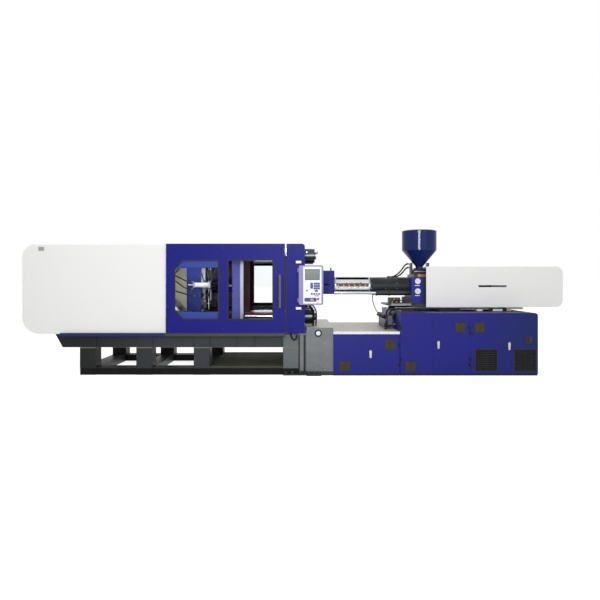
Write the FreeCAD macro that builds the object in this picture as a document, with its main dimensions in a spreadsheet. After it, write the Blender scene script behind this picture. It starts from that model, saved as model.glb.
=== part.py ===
import FreeCAD, Part

import math
import operator
import os
from types import SimpleNamespace

import Sketcher
from FreeCAD import Placement, Rotation, Vector

# An injection moulding machine of about 470 tonnes: a five-point toggle clamp on the left,
# an injection unit on the right. Millimetres; X runs along the machine from the clamp to the
# injection end, -Y is the operator's side, +Z is up, and the floor is Z = 0.

SIZES = {
    # machine axis and shared clearances
    "centre_height": 1330,
    "running_gap": 0.08,
    "slide_gap": 0.3,
    "cabinet_overhang": 80,
    # welded clamp base
    "leg_1_left": -3292,
    "leg_2_left": -2444,
    "leg_3_left": -1580,
    "leg_4_left": -240,
    "leg_width": 236,
    "leg_proud": 12,
    "base_half_width": 870,
    "side_frame_depth": 240,
    "sill_height": 110,
    "beam_bottom": 413,
    "base_top": 632,
    "overhang_top": 388,
    "overhang_bottom": 267,
    "rib_width": 16,
    "cross_tube_height": 147,
    "slideway_gap": 70,
    "slideway_width": 120,
    "strip_width": 80,
    "strip_height": 18,
    # base block under the nozzle, foot plates and anchor bolts
    "block_left": 112,
    "block_right": 512,
    "block_height": 715,
    "block_half_width": 920,
    "lifting_hole_height": 633,
    "lifting_hole_radius": 34,
    "lifting_boss_radius": 54,
    "lifting_boss_depth": 22,
    "foot_plate_width": 60,
    "foot_plate_thickness": 18,
    "anchor_bolt_height": 42,
    "anchor_bolt_radius": 23,
    # drip tray and bed cover plate
    "tray_thickness": 4,
    "tray_lip": 16,
    "bed_plate_top": 658,
    "bed_plate_sheet": 8,
    "bed_plate_lip": 38,
    # cabinets
    "cabinet_wall": 40,
    "cabinet_door_thickness": 25,
    "cabinet_depth": 420,
    "toe_height": 28,
    "toe_inset": 18,
    "low_cabinet_right": 1502,
    "low_door_left": 1018,
    "tall_cabinet_left": 1509,
    "tall_cabinet_right": 3561,
    "tall_cabinet_height": 935,
    "tall_corner_radius": 45,
    "tall_door_2_left": 1997,
    "tall_door_3_left": 2548,
    "tall_panel_left": 3174,
    "door_seam": 3,
    "knuckle_radius": 8,
    "knuckle_length": 50,
    "knuckle_leaf": 28,
    "knuckle_sheet": 3,
    "vent_size": 138,
    "vent_slot": 11,
    "vent_count": 6,
    "louvre_width": 320,
    "louvre_height": 320,
    "louvre_slot": 16,
    "louvre_count": 10,
    "handle_width": 38,
    "handle_length": 132,
    "handle_thickness": 22,
    # platens and tie bars
    "platen_half_width": 600,
    "platen_half_height": 600,
    "platen_corner": 60,
    "fixed_platen_face": -190,
    "fixed_platen_thickness": 280,
    "locating_bore_radius": 80,
    "locating_bore_depth": 60,
    "sprue_cone_radius": 210,
    "mould_bolt_offset": 280,
    "mould_bolt_radius": 10.5,
    "mould_bolt_depth": 50,
    "tie_bar_offset_y": 410,
    "tie_bar_offset_z": 480,
    "tie_bar_radius": 57.5,
    "tie_bar_rear": -3560,
    "tie_bar_nut_radius": 112,
    "tie_bar_nut_length": 155,
    "moving_platen_face": -861,
    "moving_plate_thickness": 180,
    "moving_flange_right": -1520,
    "moving_flange_thickness": 225,
    "moving_platen_half": 580,
    "moving_sleeve_radius": 88,
    "moving_web_offset": 290,
    "moving_web_thickness": 40,
    "moving_web_half_height": 330,
    "moving_web_window": 120,
    "rear_platen_half": 590,
    "rear_platen_thickness": 260,
    "gear_nut_radius": 115,
    "gear_ring_radius": 515,
    "gear_ring_width": 62,
    "gear_plate_thickness": 60,
    # toggle mechanism
    "toggle_pivot_height": 520,
    "toggle_link_length": 500,
    "toggle_rest_angle": 46,
    "toggle_pin_radius": 40,
    "toggle_eye_radius": 56,
    "toggle_link_thickness": 78,
    "toggle_inner_plane": 130,
    "toggle_outer_plane": 210,
    "toggle_lug_plane": 280,
    "front_pivot_offset": 110,
    "rear_pivot_offset": 260,
    "pivot_slot_travel": 46,
    "crosshead_pin_radius": 25,
    "crosshead_eye_radius": 42,
    "crosshead_pin_height": 110,
    "crosshead_link_length": 230,
    "crosshead_lever_arm": 310,
    "crosshead_lever_offset": 70,
    "crosshead_inner_plane": 70,
    "crosshead_half_length": 60,
    "crosshead_arm_half_height": 54,
    "crosshead_guide_offset": 320,
    "crosshead_guide_radius": 30,
    "crosshead_guide_length": 560,
    "piston_rod_radius": 45,
    "clamp_cylinder_radius": 130,
    "clamp_cylinder_length": 830,
    # ejector
    "ejector_cylinder_radius": 60,
    "ejector_cylinder_length": 230,
    "ejector_piston_radius": 21,
    "ejector_rod_radius": 15,
    "ejector_rod_offset": 170,
    "ejector_bar_left": -1240,
    "ejector_bar_thickness": 30,
    "ejector_bar_half_height": 55,
    # clamp cover, doors and fixed side panels
    "cover_left": -4150,
    "cover_right": -1998,
    "cover_bottom": 618,
    "cover_top": 1956,
    "cover_half_width": 900,
    "cover_sheet": 16,
    "cover_ledge": 64,
    "cover_top_radius": 190,
    "cover_bottom_radius": 250,
    "cover_band_width": 52,
    "cover_band_proud": 10,
    "door_left": -1976,
    "door_right": -210,
    "door_bottom": 637,
    "door_top": 1968,
    "door_stand_off": 50,
    "door_thickness": 45,
    "door_window_1_left": -1860,
    "door_window_1_right": -1190,
    "door_window_2_left": -1064,
    "door_window_2_right": -381,
    "door_window_bottom": 833,
    "door_window_top": 1730,
    "door_window_chamfer": 127,
    "door_glass": 8,
    "door_glass_edge": 30,
    "door_handle_left": -298,
    "door_handle_width": 30,
    "door_handle_bottom": 1016,
    "door_handle_top": 1505,
    "door_handle_reach": 22,
    "rear_window_left": -833,
    "rear_window_right": -420,
    "rear_window_bottom": 1000,
    "rear_window_top": 1700,
    "track_bottom": 588,
    "track_lip": 8,
    "track_left": -3561,
    "track_end": 6,
    "top_rail_thickness": 16,
    "top_rail_height": 64,
    "top_rail_drop": 46,
    "panel_left": -185,
    "panel_right": 88,
    "panel_sheet": 25,
    "panel_corner": 30,
    # control box on the operator's side
    "control_box_left": -3,
    "control_box_width": 361,
    "control_box_bottom": 1060,
    "control_box_height": 584,
    "control_box_face": 1050,
    "control_box_depth": 88,
    "control_box_radius": 26,
    "control_screen_width": 207,
    "control_screen_height": 150,
    "control_hinge_radius": 9,
    "control_hinge_pin": 5,
    "bracket_reach": 6.5,
    "control_button_drop": 74,
    "emergency_button_radius": 19,
    "cycle_button_radius": 14,
    "selector_radius": 15,
    "button_stroke": 6,
    "button_seat": 12,
    # nozzle guard
    "guard_gap": 6,
    "guard_right": 570,
    "guard_half_width": 280,
    "guard_bottom": 1206,
    "guard_top": 1578,
    "guard_sheet": 6,
    "guard_slit_height": 16,
    "guard_hinge_radius": 8,
    "guard_lug_width": 16,
    # barrel, screw and barrel covers
    "nozzle_tip": -150,
    "nozzle_tip_radius": 18,
    "nozzle_radius": 34,
    "nozzle_length": 240,
    "barrel_head_radius": 105,
    "barrel_head_length": 130,
    "barrel_radius": 88,
    "screw_radius": 37.5,
    "heater_band_radius": 98,
    "barrel_cover_left": 583,
    "barrel_cover_joint": 1150,
    "barrel_cover_right": 1812,
    "barrel_cover_radius": 143,
    "barrel_cover_sheet": 6,
    # injection carriage
    "rail_left": 1535,
    "rail_right": 3560,
    "rail_bottom": 962,
    "rail_top": 990,
    "rail_offset": 350,
    "rail_width": 70,
    "housing_left": 1846,
    "housing_right": 2124,
    "housing_half_width": 270,
    "housing_bottom": 1020,
    "shoe_bridge_height": 40,
    "housing_top": 1520,
    "feed_cover_left": 1804,
    "feed_cover_right": 1996,
    "feed_cover_half_width": 300,
    "feed_cover_top": 1475,
    "feed_cover_sheet": 10,
    "cover_way_gap": 4,
    "gauge_radius": 46,
    "gauge_depth": 30,
    "pull_rod_radius": 22.5,
    "pull_rod_offset": 150,
    "pull_rod_height": 1218,
    "pull_cylinder_left": 1250,
    "pull_cylinder_radius": 42,
    "front_shelf_left": 1400,
    "front_shelf_half_width": 300,
    "switch_box_length": 190,
    "switch_box_width": 110,
    "switch_box_height": 95,
    "injection_cylinder_radius": 82,
    "injection_cylinder_offset": 190,
    "injection_cylinder_length": 520,
    "injection_rod_radius": 38,
    "injection_plate_left": 2700,
    "injection_plate_thickness": 130,
    "guide_rod_radius": 30,
    "rear_bridge_left": 3170,
    "rear_bridge_thickness": 80,
    "screw_motor_radius": 150,
    "screw_motor_length": 300,
    "injection_cover_left": 2001,
    "injection_cover_right": 4150,
    "injection_cover_half_width": 480,
    "injection_cover_bottom": 1000,
    "injection_cover_top": 1638,
    "injection_cover_radius": 110,
    "injection_cover_sheet": 10,
    "cover_slot_left": 2823,
    "cover_slot_right": 3263,
    "cover_slot_height": 30,
    # hopper
    "hopper_centre": 1990,
    "hopper_radius": 282,
    "hopper_throat_radius": 60,
    "hopper_throat_height": 1600,
    "hopper_cone_bottom": 1650,
    "hopper_cone_top": 1914,
    "hopper_rim": 2229,
    "lid_height": 16,
    "lid_hinge_reach": 10,
    "lid_hinge_radius": 8,
    "lid_pin_radius": 4,
    "lid_hinge_half": 40,
    "lid_lug_width": 25,
    "hopper_sheet": 5,
    "hopper_stand_half": 130,
    "cheek_reach": 20,
    "cheek_half_width": 70,
    "cheek_top": 1710,
    "gate_thickness": 10,
    # hydraulics
    "manifold_left": 1360,
    "manifold_height": 150,
    "heater_socket_left": 1432,
    "heater_socket_near": 605,
    "heater_socket_width": 60,
    "heater_socket_height": 64,
    # cables and hoses
    "cable_radius": 7,
    "thin_cable_radius": 7,
    "hose_radius": 11,
    "drain_hose_radius": 13,
    "distributor_edge": 15,
    "distributor_width": 60,
    "distributor_depth": 34,
    "distributor_bottom": 1000,
    "distributor_height": 75,
}

doc = FreeCAD.newDocument("injection_moulding_machine")
sheet = doc.addObject("Spreadsheet::Sheet", "dims")
NODES = []


class Size:
    """A length that carries both its number and the sheet formula it comes from."""

    def __init__(self, number, formula):
        self.number = float(number)
        self.formula = formula

    def joined(self, other, sign, action):
        other = sized(other)
        number = action(self.number, other.number)
        return Size(number, f"({self.formula} {sign} {other.formula})")

    def __add__(self, other):
        return self.joined(other, "+", operator.add)

    def __sub__(self, other):
        return self.joined(other, "-", operator.sub)

    def __mul__(self, other):
        return self.joined(other, "*", operator.mul)

    def __truediv__(self, other):
        return self.joined(other, "/", operator.truediv)

    def __radd__(self, other):
        return sized(other) + self

    def __rsub__(self, other):
        return sized(other) - self

    def __rmul__(self, other):
        return sized(other) * self

    def __neg__(self):
        return sized(0) - self


def sized(length):
    """A plain number or a Size, as a Size."""
    return length if isinstance(length, Size) else Size(length, f"({length})")


def fill_sheet():
    """Writes every driving dimension to the sheet and gives each cell its name."""
    for row, (name, value) in enumerate(SIZES.items(), start=1):
        sheet.set(f"A{row}", name)
        sheet.set(f"B{row}", str(value))
        sheet.setAlias(f"B{row}", name)
    doc.recompute()


fill_sheet()
d = SimpleNamespace(**{name: Size(value, f"dims.{name}") for name, value in SIZES.items()})


# ---------------------------------------------------------------------------
# Building blocks: every size that they take may be a Size, and is then bound to the sheet
# ---------------------------------------------------------------------------
def bind(thing, prop, length):
    """Ties one property of a document object to the sheet."""
    thing.setExpression(prop, sized(length).formula)


def place(thing, point):
    """Ties an object's position to the sheet."""
    for letter, length in zip("xyz", point):
        bind(thing, f"Placement.Base.{letter}", length)


def keep(thing):
    """Marks a finished piece: its label is the node's name."""
    NODES.append(thing)
    return thing


def box(name, low, high):
    """A block between two corners."""
    block = doc.addObject("Part::Box", name)
    for side, start, end in zip(("Length", "Width", "Height"), low, high):
        bind(block, side, sized(end) - start)
    place(block, low)
    return block


AXIS_TURNS = {
    "x": Rotation(Vector(0, 1, 0), 90),
    "y": Rotation(Vector(1, 0, 0), -90),
    "z": Rotation(),
}


def rod(name, axis, start, radius, length):
    """A round bar that runs along one axis from its start point."""
    bar = doc.addObject("Part::Cylinder", name)
    bar.Placement = Placement(Vector(), AXIS_TURNS[axis])
    bind(bar, "Radius", radius)
    bind(bar, "Height", length)
    place(bar, start)
    return bar


def hexagon(name, start, radius, height):
    """A bolt head standing on a point, across corners twice the radius."""
    head = doc.addObject("Part::Prism", name)
    head.Polygon = 6
    bind(head, "Circumradius", radius)
    bind(head, "Height", height)
    place(head, start)
    return head


def fuse(name, shapes):
    piece = doc.addObject("Part::MultiFuse", name)
    piece.Shapes = shapes
    piece.Refine = True
    return piece


def cut(name, base, tools):
    """A piece with one or more cutters taken out of it."""
    tool = tools[0]
    if len(tools) > 1:
        tool = doc.addObject("Part::MultiFuse", name + "_cutters")
        tool.Shapes = tools
    piece = doc.addObject("Part::Cut", name)
    piece.Base = base
    piece.Tool = tool
    piece.Refine = True
    return piece


def group(name, shapes):
    """Separate solids that share one node."""
    piece = doc.addObject("Part::Compound", name)
    piece.Links = shapes
    return piece


def start_body(name, origin=(0, 0, 0)):
    body = doc.addObject("PartDesign::Body", name)
    place(body, origin)
    return body


def sketch_on(body, name, plane, level):
    """An empty sketch on one of the body's own planes, shifted along that plane's normal."""
    sketch = body.newObject("Sketcher::SketchObject", name)
    planes = [f for f in body.Origin.OriginFeatures if f.Role == plane + "_Plane"]
    sketch.AttachmentSupport = [(planes[0], "")]
    sketch.MapMode = "FlatFace"
    bind(sketch, "AttachmentOffset.Base.z", level)
    return sketch


def draw_outline(sketch, outline):
    """A closed outline of straight sides, with each corner tied to its own two sizes."""
    first = sketch.GeometryCount
    count = len(outline)
    corners = [Vector(sized(x).number, sized(y).number, 0) for x, y in outline]
    sketch.addGeometry(
        [Part.LineSegment(corners[i], corners[(i + 1) % count]) for i in range(count)], False
    )
    rules = []
    for i in range(count):
        rules.append(Sketcher.Constraint("Coincident", first + i, 2, first + (i + 1) % count, 1))
    for i, corner in enumerate(corners):
        rules.append(Sketcher.Constraint("DistanceX", -1, 1, first + i, 1, corner.x))
        rules.append(Sketcher.Constraint("DistanceY", -1, 1, first + i, 1, corner.y))
    number = sketch.ConstraintCount
    sketch.addConstraint(rules)
    for i, (x, y) in enumerate(outline):
        bind(sketch, f"Constraints[{number + count + 2 * i}]", x)
        bind(sketch, f"Constraints[{number + count + 2 * i + 1}]", y)


def draw_circle(sketch, centre, radius):
    x, y = centre
    circle = Part.Circle(Vector(sized(x).number, sized(y).number, 0), Vector(0, 0, 1), sized(radius).number)
    index = sketch.addGeometry(circle, False)
    number = sketch.ConstraintCount
    sketch.addConstraint(
        [
            Sketcher.Constraint("DistanceX", -1, 1, index, 3, sized(x).number),
            Sketcher.Constraint("DistanceY", -1, 1, index, 3, sized(y).number),
            Sketcher.Constraint("Radius", index, sized(radius).number),
        ]
    )
    bind(sketch, f"Constraints[{number}]", x)
    bind(sketch, f"Constraints[{number + 1}]", y)
    bind(sketch, f"Constraints[{number + 2}]", radius)


def pad(body, plane, level, depth, outlines=(), circles=()):
    """Adds a flat outline, drawn on a plane at a level, with depth along the plane's normal."""
    name = f"{body.Name}_{len(body.Group)}"
    sketch = sketch_on(body, name + "_sketch", plane, level)
    for outline in outlines:
        draw_outline(sketch, outline)
    for centre, radius in circles:
        draw_circle(sketch, centre, radius)
    feature = body.newObject("PartDesign::Pad", name + "_pad")
    feature.Profile = sketch
    bind(feature, "Length", depth)
    body.Tip = feature
    return body


def pocket(body, plane, level, depth, outlines=(), circles=(), along_normal=False):
    """Cuts a flat outline into the body, against the plane's normal unless told otherwise."""
    name = f"{body.Name}_{len(body.Group)}"
    sketch = sketch_on(body, name + "_sketch", plane, level)
    for outline in outlines:
        draw_outline(sketch, outline)
    for centre, radius in circles:
        draw_circle(sketch, centre, radius)
    feature = body.newObject("PartDesign::Pocket", name + "_pocket")
    feature.Profile = sketch
    feature.Reversed = along_normal
    bind(feature, "Length", depth)
    body.Tip = feature
    return body


def turn(body, plane, axis, outlines, remove=False):
    """Turns outlines drawn on a plane about the sketch's own axis, adding or cutting."""
    name = f"{body.Name}_{len(body.Group)}"
    sketch = sketch_on(body, name + "_sketch", plane, 0)
    for outline in outlines:
        draw_outline(sketch, outline)
    kind = "Groove" if remove else "Revolution"
    feature = body.newObject("PartDesign::" + kind, name + "_turned")
    feature.Profile = sketch
    feature.ReferenceAxis = (sketch, [axis])
    feature.Angle = 360
    body.Tip = feature
    return body


def rounded(body, radius, chosen):
    """Rounds the edges of the body that chosen() picks."""
    doc.recompute()
    base = body.Tip
    names = [f"Edge{i}" for i, edge in enumerate(base.Shape.Edges, start=1) if chosen(edge)]
    fillet = body.newObject("PartDesign::Fillet", f"{body.Name}_{len(body.Group)}_fillet")
    fillet.Base = (base, names)
    bind(fillet, "Radius", radius)
    body.Tip = fillet
    return body


def runs_along(edge, letter):
    """Whether an edge is straight and parallel to one axis."""
    ends = edge.Vertexes
    if len(ends) != 2 or edge.Curve.TypeId != "Part::GeomLine":
        return False
    step = ends[1].Point - ends[0].Point
    return abs(getattr(step, letter)) > step.Length - 0.001


def passes(edge, near, reach=1.0):
    """Whether the middle of an edge lies at the given coordinates, by axis letter."""
    middle = edge.CenterOfMass
    return all(abs(getattr(middle, letter) - sized(at).number) < reach for letter, at in near.items())


def rectangle(left, right, bottom, top):
    return [(left, bottom), (right, bottom), (right, top), (left, top)]


# ---------------------------------------------------------------------------
# Clamp base: two welded side frames joined by cross tubes and slideways
# ---------------------------------------------------------------------------
legs = [d.leg_1_left, d.leg_2_left, d.leg_3_left, d.leg_4_left]
leg_4_right = d.leg_4_left + d.leg_width
base_inner = d.base_half_width - d.side_frame_depth
machine_half_width = d.base_half_width + d.cabinet_overhang
door_inner_face = d.base_half_width + d.door_stand_off
slideway_offset = base_inner - d.slideway_gap - d.slideway_width / 2
slideway_top = d.base_top + d.strip_height


def base_side_frame(name, side):
    """One side of the base: a plate with three windows, legs and ribs standing proud."""
    beam_face = d.base_half_width - d.leg_proud
    outline = [
        (d.leg_1_left, 0),
        (leg_4_right, 0),
        (leg_4_right, d.base_top),
        (d.leg_1_left - d.overhang_top, d.base_top),
        (d.leg_1_left - d.overhang_bottom, d.beam_bottom),
        (d.leg_1_left, d.beam_bottom),
    ]
    windows = [
        rectangle(left + d.leg_width, right, d.sill_height, d.beam_bottom)
        for left, right in zip(legs, legs[1:])
    ]
    proud = [rectangle(left, left + d.leg_width, 0, d.base_top) for left in legs]
    span = (d.leg_4_left - d.leg_3_left - d.leg_width) / 3
    for i in (1, 2):
        rib = d.leg_3_left + d.leg_width + span * i
        proud.append(rectangle(rib, rib + d.rib_width, d.beam_bottom, d.base_top))
    body = start_body(name)
    inner_level = base_inner if side < 0 else -beam_face
    pad(body, "XZ", inner_level, beam_face - base_inner, [outline] + windows)
    outer_level = beam_face if side < 0 else -d.base_half_width
    return pad(body, "XZ", outer_level, d.leg_proud, proud)


def base_cross_tubes():
    """A low and a high tube between the side frames at each leg."""
    tubes = []
    for i, left in enumerate(legs, start=1):
        for level, bottom, top in (
            ("low", 0, d.sill_height),
            ("high", d.beam_bottom, d.beam_bottom + d.cross_tube_height),
        ):
            low = (left, -base_inner, bottom)
            high = (left + d.leg_width, base_inner, top)
            tubes.append(box(f"cross_tube_{level}_{i}", low, high))
    return keep(group("base_cross_tubes", tubes))


def clamp_slideways():
    """Two beams along the base, each with a hardened strip that the platens slide on."""
    pieces = []
    beam_bottom = d.beam_bottom + d.cross_tube_height
    for side in (-1, 1):
        middle = slideway_offset * side
        half = d.slideway_width / 2
        pieces.append(
            box(f"slideway_beam_{side + 1}", (d.leg_1_left, middle - half, beam_bottom),
                (leg_4_right, middle + half, d.base_top))
        )
        half = d.strip_width / 2
        pieces.append(
            box(f"slideway_strip_{side + 1}", (d.leg_1_left, middle - half, d.base_top),
                (d.fixed_platen_face - d.slide_gap, middle + half, slideway_top))
        )
    return keep(group("clamp_slideways", pieces))


def drip_tray():
    """A folded tray on the sills of the open bay, with a low lip along both sides."""
    half = d.base_half_width - d.leg_proud * 2
    low = d.sill_height
    high = low + d.tray_lip
    floor = low + d.tray_thickness
    outline = [
        (-half, low), (half, low), (half, high), (half - d.tray_thickness, high),
        (half - d.tray_thickness, floor), (d.tray_thickness - half, floor),
        (d.tray_thickness - half, high), (-half, high),
    ]
    left = d.leg_3_left + d.leg_width + d.slide_gap
    body = start_body("drip_tray")
    return keep(pad(body, "YZ", left, d.leg_4_left - d.slide_gap - left, [outline]))


def injection_base_block():
    """The stepped block that ties the clamp base to the injection end, with lifting bosses."""
    block = box("block_body", (d.block_left, -d.block_half_width, 0),
                (d.block_right, d.block_half_width, d.block_height))
    flange = box("block_flange", (leg_4_right, -d.base_half_width, 0),
                 (d.block_left, d.base_half_width, d.base_top))
    middle = (d.block_left + d.block_right) / 2 - 24
    reach = d.block_half_width + d.lifting_boss_depth
    boss = rod("lifting_boss", "y", (middle, -reach, d.lifting_hole_height),
               d.lifting_boss_radius, reach * 2)
    holes = [
        rod("lifting_hole_near", "y", (middle, -reach, d.lifting_hole_height),
            d.lifting_hole_radius, d.lifting_boss_depth * 4),
        rod("lifting_hole_far", "y", (middle, reach - d.lifting_boss_depth * 4, d.lifting_hole_height),
            d.lifting_hole_radius, d.lifting_boss_depth * 4),
    ]
    pipe = rod("drain_pipe", "z", (leg_4_right + 11, -d.base_half_width - 4, d.foot_plate_thickness), 8,
               d.track_bottom - d.foot_plate_thickness)
    casting = cut("base_block_casting", fuse("block_solid", [block, flange, boss, pipe]), holes)
    return keep(group("injection_base_block", [casting] + anchor_bolts()))


def anchor_bolts():
    """Foot plates along both sides of the joint between the two bases, with hexagon bolts."""
    pieces = []
    steps = [
        (d.leg_4_left, d.block_left, d.base_half_width, (0.12, 0.4, 0.72, 0.94)),
        (d.block_left, d.block_right - d.foot_plate_width * 3, d.block_half_width, (0.15, 0.5, 0.85)),
    ]
    for side in (-1, 1):
        for number, (left, right, face, shares) in enumerate(steps):
            tag = f"{side + 1}_{number}"
            edges = sorted((face * side, (face + d.foot_plate_width) * side), key=lambda e: e.number)
            pieces.append(box(f"foot_plate_{tag}", (left, edges[0], 0),
                              (right, edges[1], d.foot_plate_thickness)))
            for i, share in enumerate(shares):
                at = (left + (right - left) * share, (face + d.foot_plate_width / 2) * side,
                      d.foot_plate_thickness)
                pieces.append(hexagon(f"anchor_bolt_{tag}_{i}", at, d.anchor_bolt_radius,
                                      d.anchor_bolt_height))
    return pieces


def bed_cover_plate():
    """A folded plate over the low cabinet, with a lip down both sides."""
    half = machine_half_width
    under = d.bed_plate_top - d.bed_plate_sheet
    outline = [
        (-half, d.bed_plate_top - d.bed_plate_lip),
        (d.bed_plate_sheet - half, d.bed_plate_top - d.bed_plate_lip),
        (d.bed_plate_sheet - half, under), (half - d.bed_plate_sheet, under),
        (half - d.bed_plate_sheet, d.bed_plate_top - d.bed_plate_lip),
        (half, d.bed_plate_top - d.bed_plate_lip), (half, d.bed_plate_top), (-half, d.bed_plate_top),
    ]
    body = start_body("bed_cover_plate")
    return keep(pad(body, "YZ", d.block_right, d.low_cabinet_right - d.block_right, [outline]))


# ---------------------------------------------------------------------------
# Sheet-metal cabinets with hinged doors
# ---------------------------------------------------------------------------
cabinet_face = machine_half_width - d.cabinet_door_thickness


def slots(name, left, bottom, width, height, slot, count):
    """Cutters for a row of level ventilation slots through a front panel."""
    step = (height - slot) / (count - 1)
    depth = d.cabinet_door_thickness * 4
    return [
        box(f"{name}_slot_{i}", (left, -machine_half_width - d.cabinet_door_thickness, bottom + step * i),
            (left + width, depth - machine_half_width, bottom + step * i + slot))
        for i in range(count)
    ]


def vent(name, left, bottom):
    return slots(name, left, bottom, d.vent_size, d.vent_size, d.vent_slot, SIZES["vent_count"])


def louvre(name, left, bottom):
    return slots(name, left, bottom, d.louvre_width, d.louvre_height, d.louvre_slot, SIZES["louvre_count"])


def compartment(name, left, right, top):
    """The space behind a door."""
    return box(name, (left, -machine_half_width - 1, d.cabinet_wall + d.toe_height),
               (right, d.cabinet_depth - machine_half_width, top - d.cabinet_wall))


def front_recess(name, left, right, top):
    """Takes the thickness of a door off the cabinet's front."""
    return box(name, (left, -machine_half_width - 1, d.toe_height), (right, -cabinet_face, top + 1))


def toe_recess(name, left, right):
    """The set-back strip along the floor, front and back."""
    far = machine_half_width
    return [
        box(name + "_near", (left, -far - 1, -1), (right, d.toe_inset - far, d.toe_height)),
        box(name + "_far", (left, far - d.toe_inset, -1), (right, far + 1, d.toe_height)),
    ]


def low_cabinet():
    """The low cabinet: a fixed left panel with a vent, and a compartment behind a door."""
    top = d.bed_plate_top - d.bed_plate_sheet
    lip_bottom = d.bed_plate_top - d.bed_plate_lip
    left = d.block_right
    right = d.low_cabinet_right
    far = machine_half_width
    shell = box("low_cabinet_block", (left, -far, 0), (right, far, top))
    lip_room = d.bed_plate_sheet + d.slide_gap
    tools = [
        box("low_lip_near", (left - 1, -far - 1, lip_bottom - d.slide_gap), (right + 1, lip_room - far, top + 1)),
        box("low_lip_far", (left - 1, far - lip_room, lip_bottom - d.slide_gap), (right + 1, far + 1, top + 1)),
        front_recess("low_door_recess", d.low_door_left, right, lip_bottom - 1),
        compartment("low_compartment", d.low_door_left + d.cabinet_wall, right - d.cabinet_wall, lip_bottom),
    ]
    tools += toe_recess("low_toe", left - 1, right + 1)
    tools += vent("low_vent", left + 102, d.toe_height + 48)
    return keep(cut("low_cabinet", shell, tools))


def tall_cabinet():
    """The injection base cabinet: two compartments with doors and a fixed panel at the end."""
    far = machine_half_width
    body = start_body("tall_cabinet_block")
    outline = rectangle(d.tall_cabinet_left, d.tall_cabinet_right, 0, d.tall_cabinet_height)
    pad(body, "XZ", -far, far * 2, [outline])
    rounded(body, d.tall_corner_radius, lambda e: runs_along(e, "y") and passes(
        e, {"x": d.tall_cabinet_right, "z": d.tall_cabinet_height}))
    top = d.tall_cabinet_height
    wall = d.cabinet_wall
    tools = [
        front_recess("tall_door_recess", d.tall_cabinet_left, d.tall_panel_left, top),
        compartment("tall_compartment_left", d.tall_cabinet_left + wall, d.tall_door_3_left - wall / 2, top),
        compartment("tall_compartment_right", d.tall_door_3_left + wall / 2, d.tall_panel_left - wall, top),
    ]
    tools += toe_recess("tall_toe", d.tall_cabinet_left - 1, d.tall_cabinet_right + 1)
    tools += louvre("end_louvre", d.tall_panel_left + 34, d.toe_height + 45)
    return keep(cut("tall_cabinet", body, tools))


def hinge_knuckles(name, edge, away, heights):
    """Round knuckles that stand proud of the door at its hinged edge, each on a leaf."""
    face = -machine_half_width
    pieces = []
    for i, height in enumerate(heights):
        pieces.append(rod(f"{name}_knuckle_{i}", "z", (edge, face - d.knuckle_radius - 1, height),
                          d.knuckle_radius, d.knuckle_length))
        tip = edge + d.knuckle_leaf * away
        sides = sorted((edge, tip), key=lambda side: side.number)
        pieces.append(box(f"{name}_leaf_{i}", (sides[0], face - d.knuckle_sheet, height),
                          (sides[1], face + 1, height + d.knuckle_length)))
    return pieces


def cabinet_door(name, left, right, top, openings, away, heights):
    """A flat door panel that fills its recess, less a seam on each side, hinged on one edge."""
    low = (left + d.door_seam / 2, -machine_half_width, d.toe_height + d.door_seam)
    high = (right - d.door_seam / 2, -cabinet_face - d.slide_gap, top)
    panel = box(name + "_panel", low, high)
    edge = left + d.door_seam / 2 if away > 0 else right - d.door_seam / 2
    knuckles = hinge_knuckles(name, edge, away, heights)
    return keep(cut(name, fuse(name + "_blank", [panel] + knuckles), openings))


def cabinet_doors():
    low_top = d.bed_plate_top - d.bed_plate_lip - d.door_seam
    tall_top = d.tall_cabinet_height - d.door_seam
    cabinet_door("low_cabinet_door", d.low_door_left, d.low_cabinet_right, low_top,
                 vent("low_door_vent", d.low_cabinet_right - 210, d.toe_height + 371), -1, (137, 436))
    cabinet_door("tall_cabinet_door_left", d.tall_cabinet_left, d.tall_door_2_left, tall_top,
                 vent("left_door_vent", d.tall_cabinet_left + 85, d.toe_height + 45), 1, (215, 693))
    cabinet_door("tall_cabinet_door_middle", d.tall_door_2_left, d.tall_door_3_left, tall_top,
                 vent("middle_door_vent", d.tall_door_3_left - 212, d.tall_cabinet_height - 280), -1, (137, 691))
    openings = vent("right_door_vent", d.tall_door_3_left + 80, d.tall_cabinet_height - 283)
    openings += louvre("right_door_louvre", d.tall_door_3_left + 80, d.toe_height + 45)
    cabinet_door("tall_cabinet_door_right", d.tall_door_3_left, d.tall_panel_left, tall_top, openings,
                 1, (215, 613))


def door_handle(name, middle, top):
    """A swing handle: a long grip on a round boss that turns about the boss."""
    face = -machine_half_width - d.slide_gap
    radius = d.handle_width / 2
    body = start_body(name, (middle, face, top - radius))
    grip = [
        (-radius, 0), (radius, 0), (radius * 0.7, radius * 2 - d.handle_length),
        (radius * -0.7, radius * 2 - d.handle_length),
    ]
    pad(body, "XZ", 0, d.handle_thickness, [grip])
    pad(body, "XZ", 0, d.handle_thickness, [], [((0, 0), radius)])
    return keep(body)


def door_handles():
    door_handle("low_door_handle", d.low_door_left + 46, 382)
    door_handle("middle_door_handle", d.tall_door_2_left + 77, 519)
    door_handle("right_door_handle", d.tall_panel_left - 46, 500)


def main_switch():
    """The rotary main switch: a round plate with a raised grip across it."""
    face = -machine_half_width - d.slide_gap
    body = start_body("main_switch", (d.tall_cabinet_right - 135, face, 540))
    pad(body, "XZ", 0, 12, [], [((0, 0), 34)])
    pad(body, "XZ", 12, 20, [rectangle(-9, 9, -30, 30)])
    return keep(body)


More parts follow.
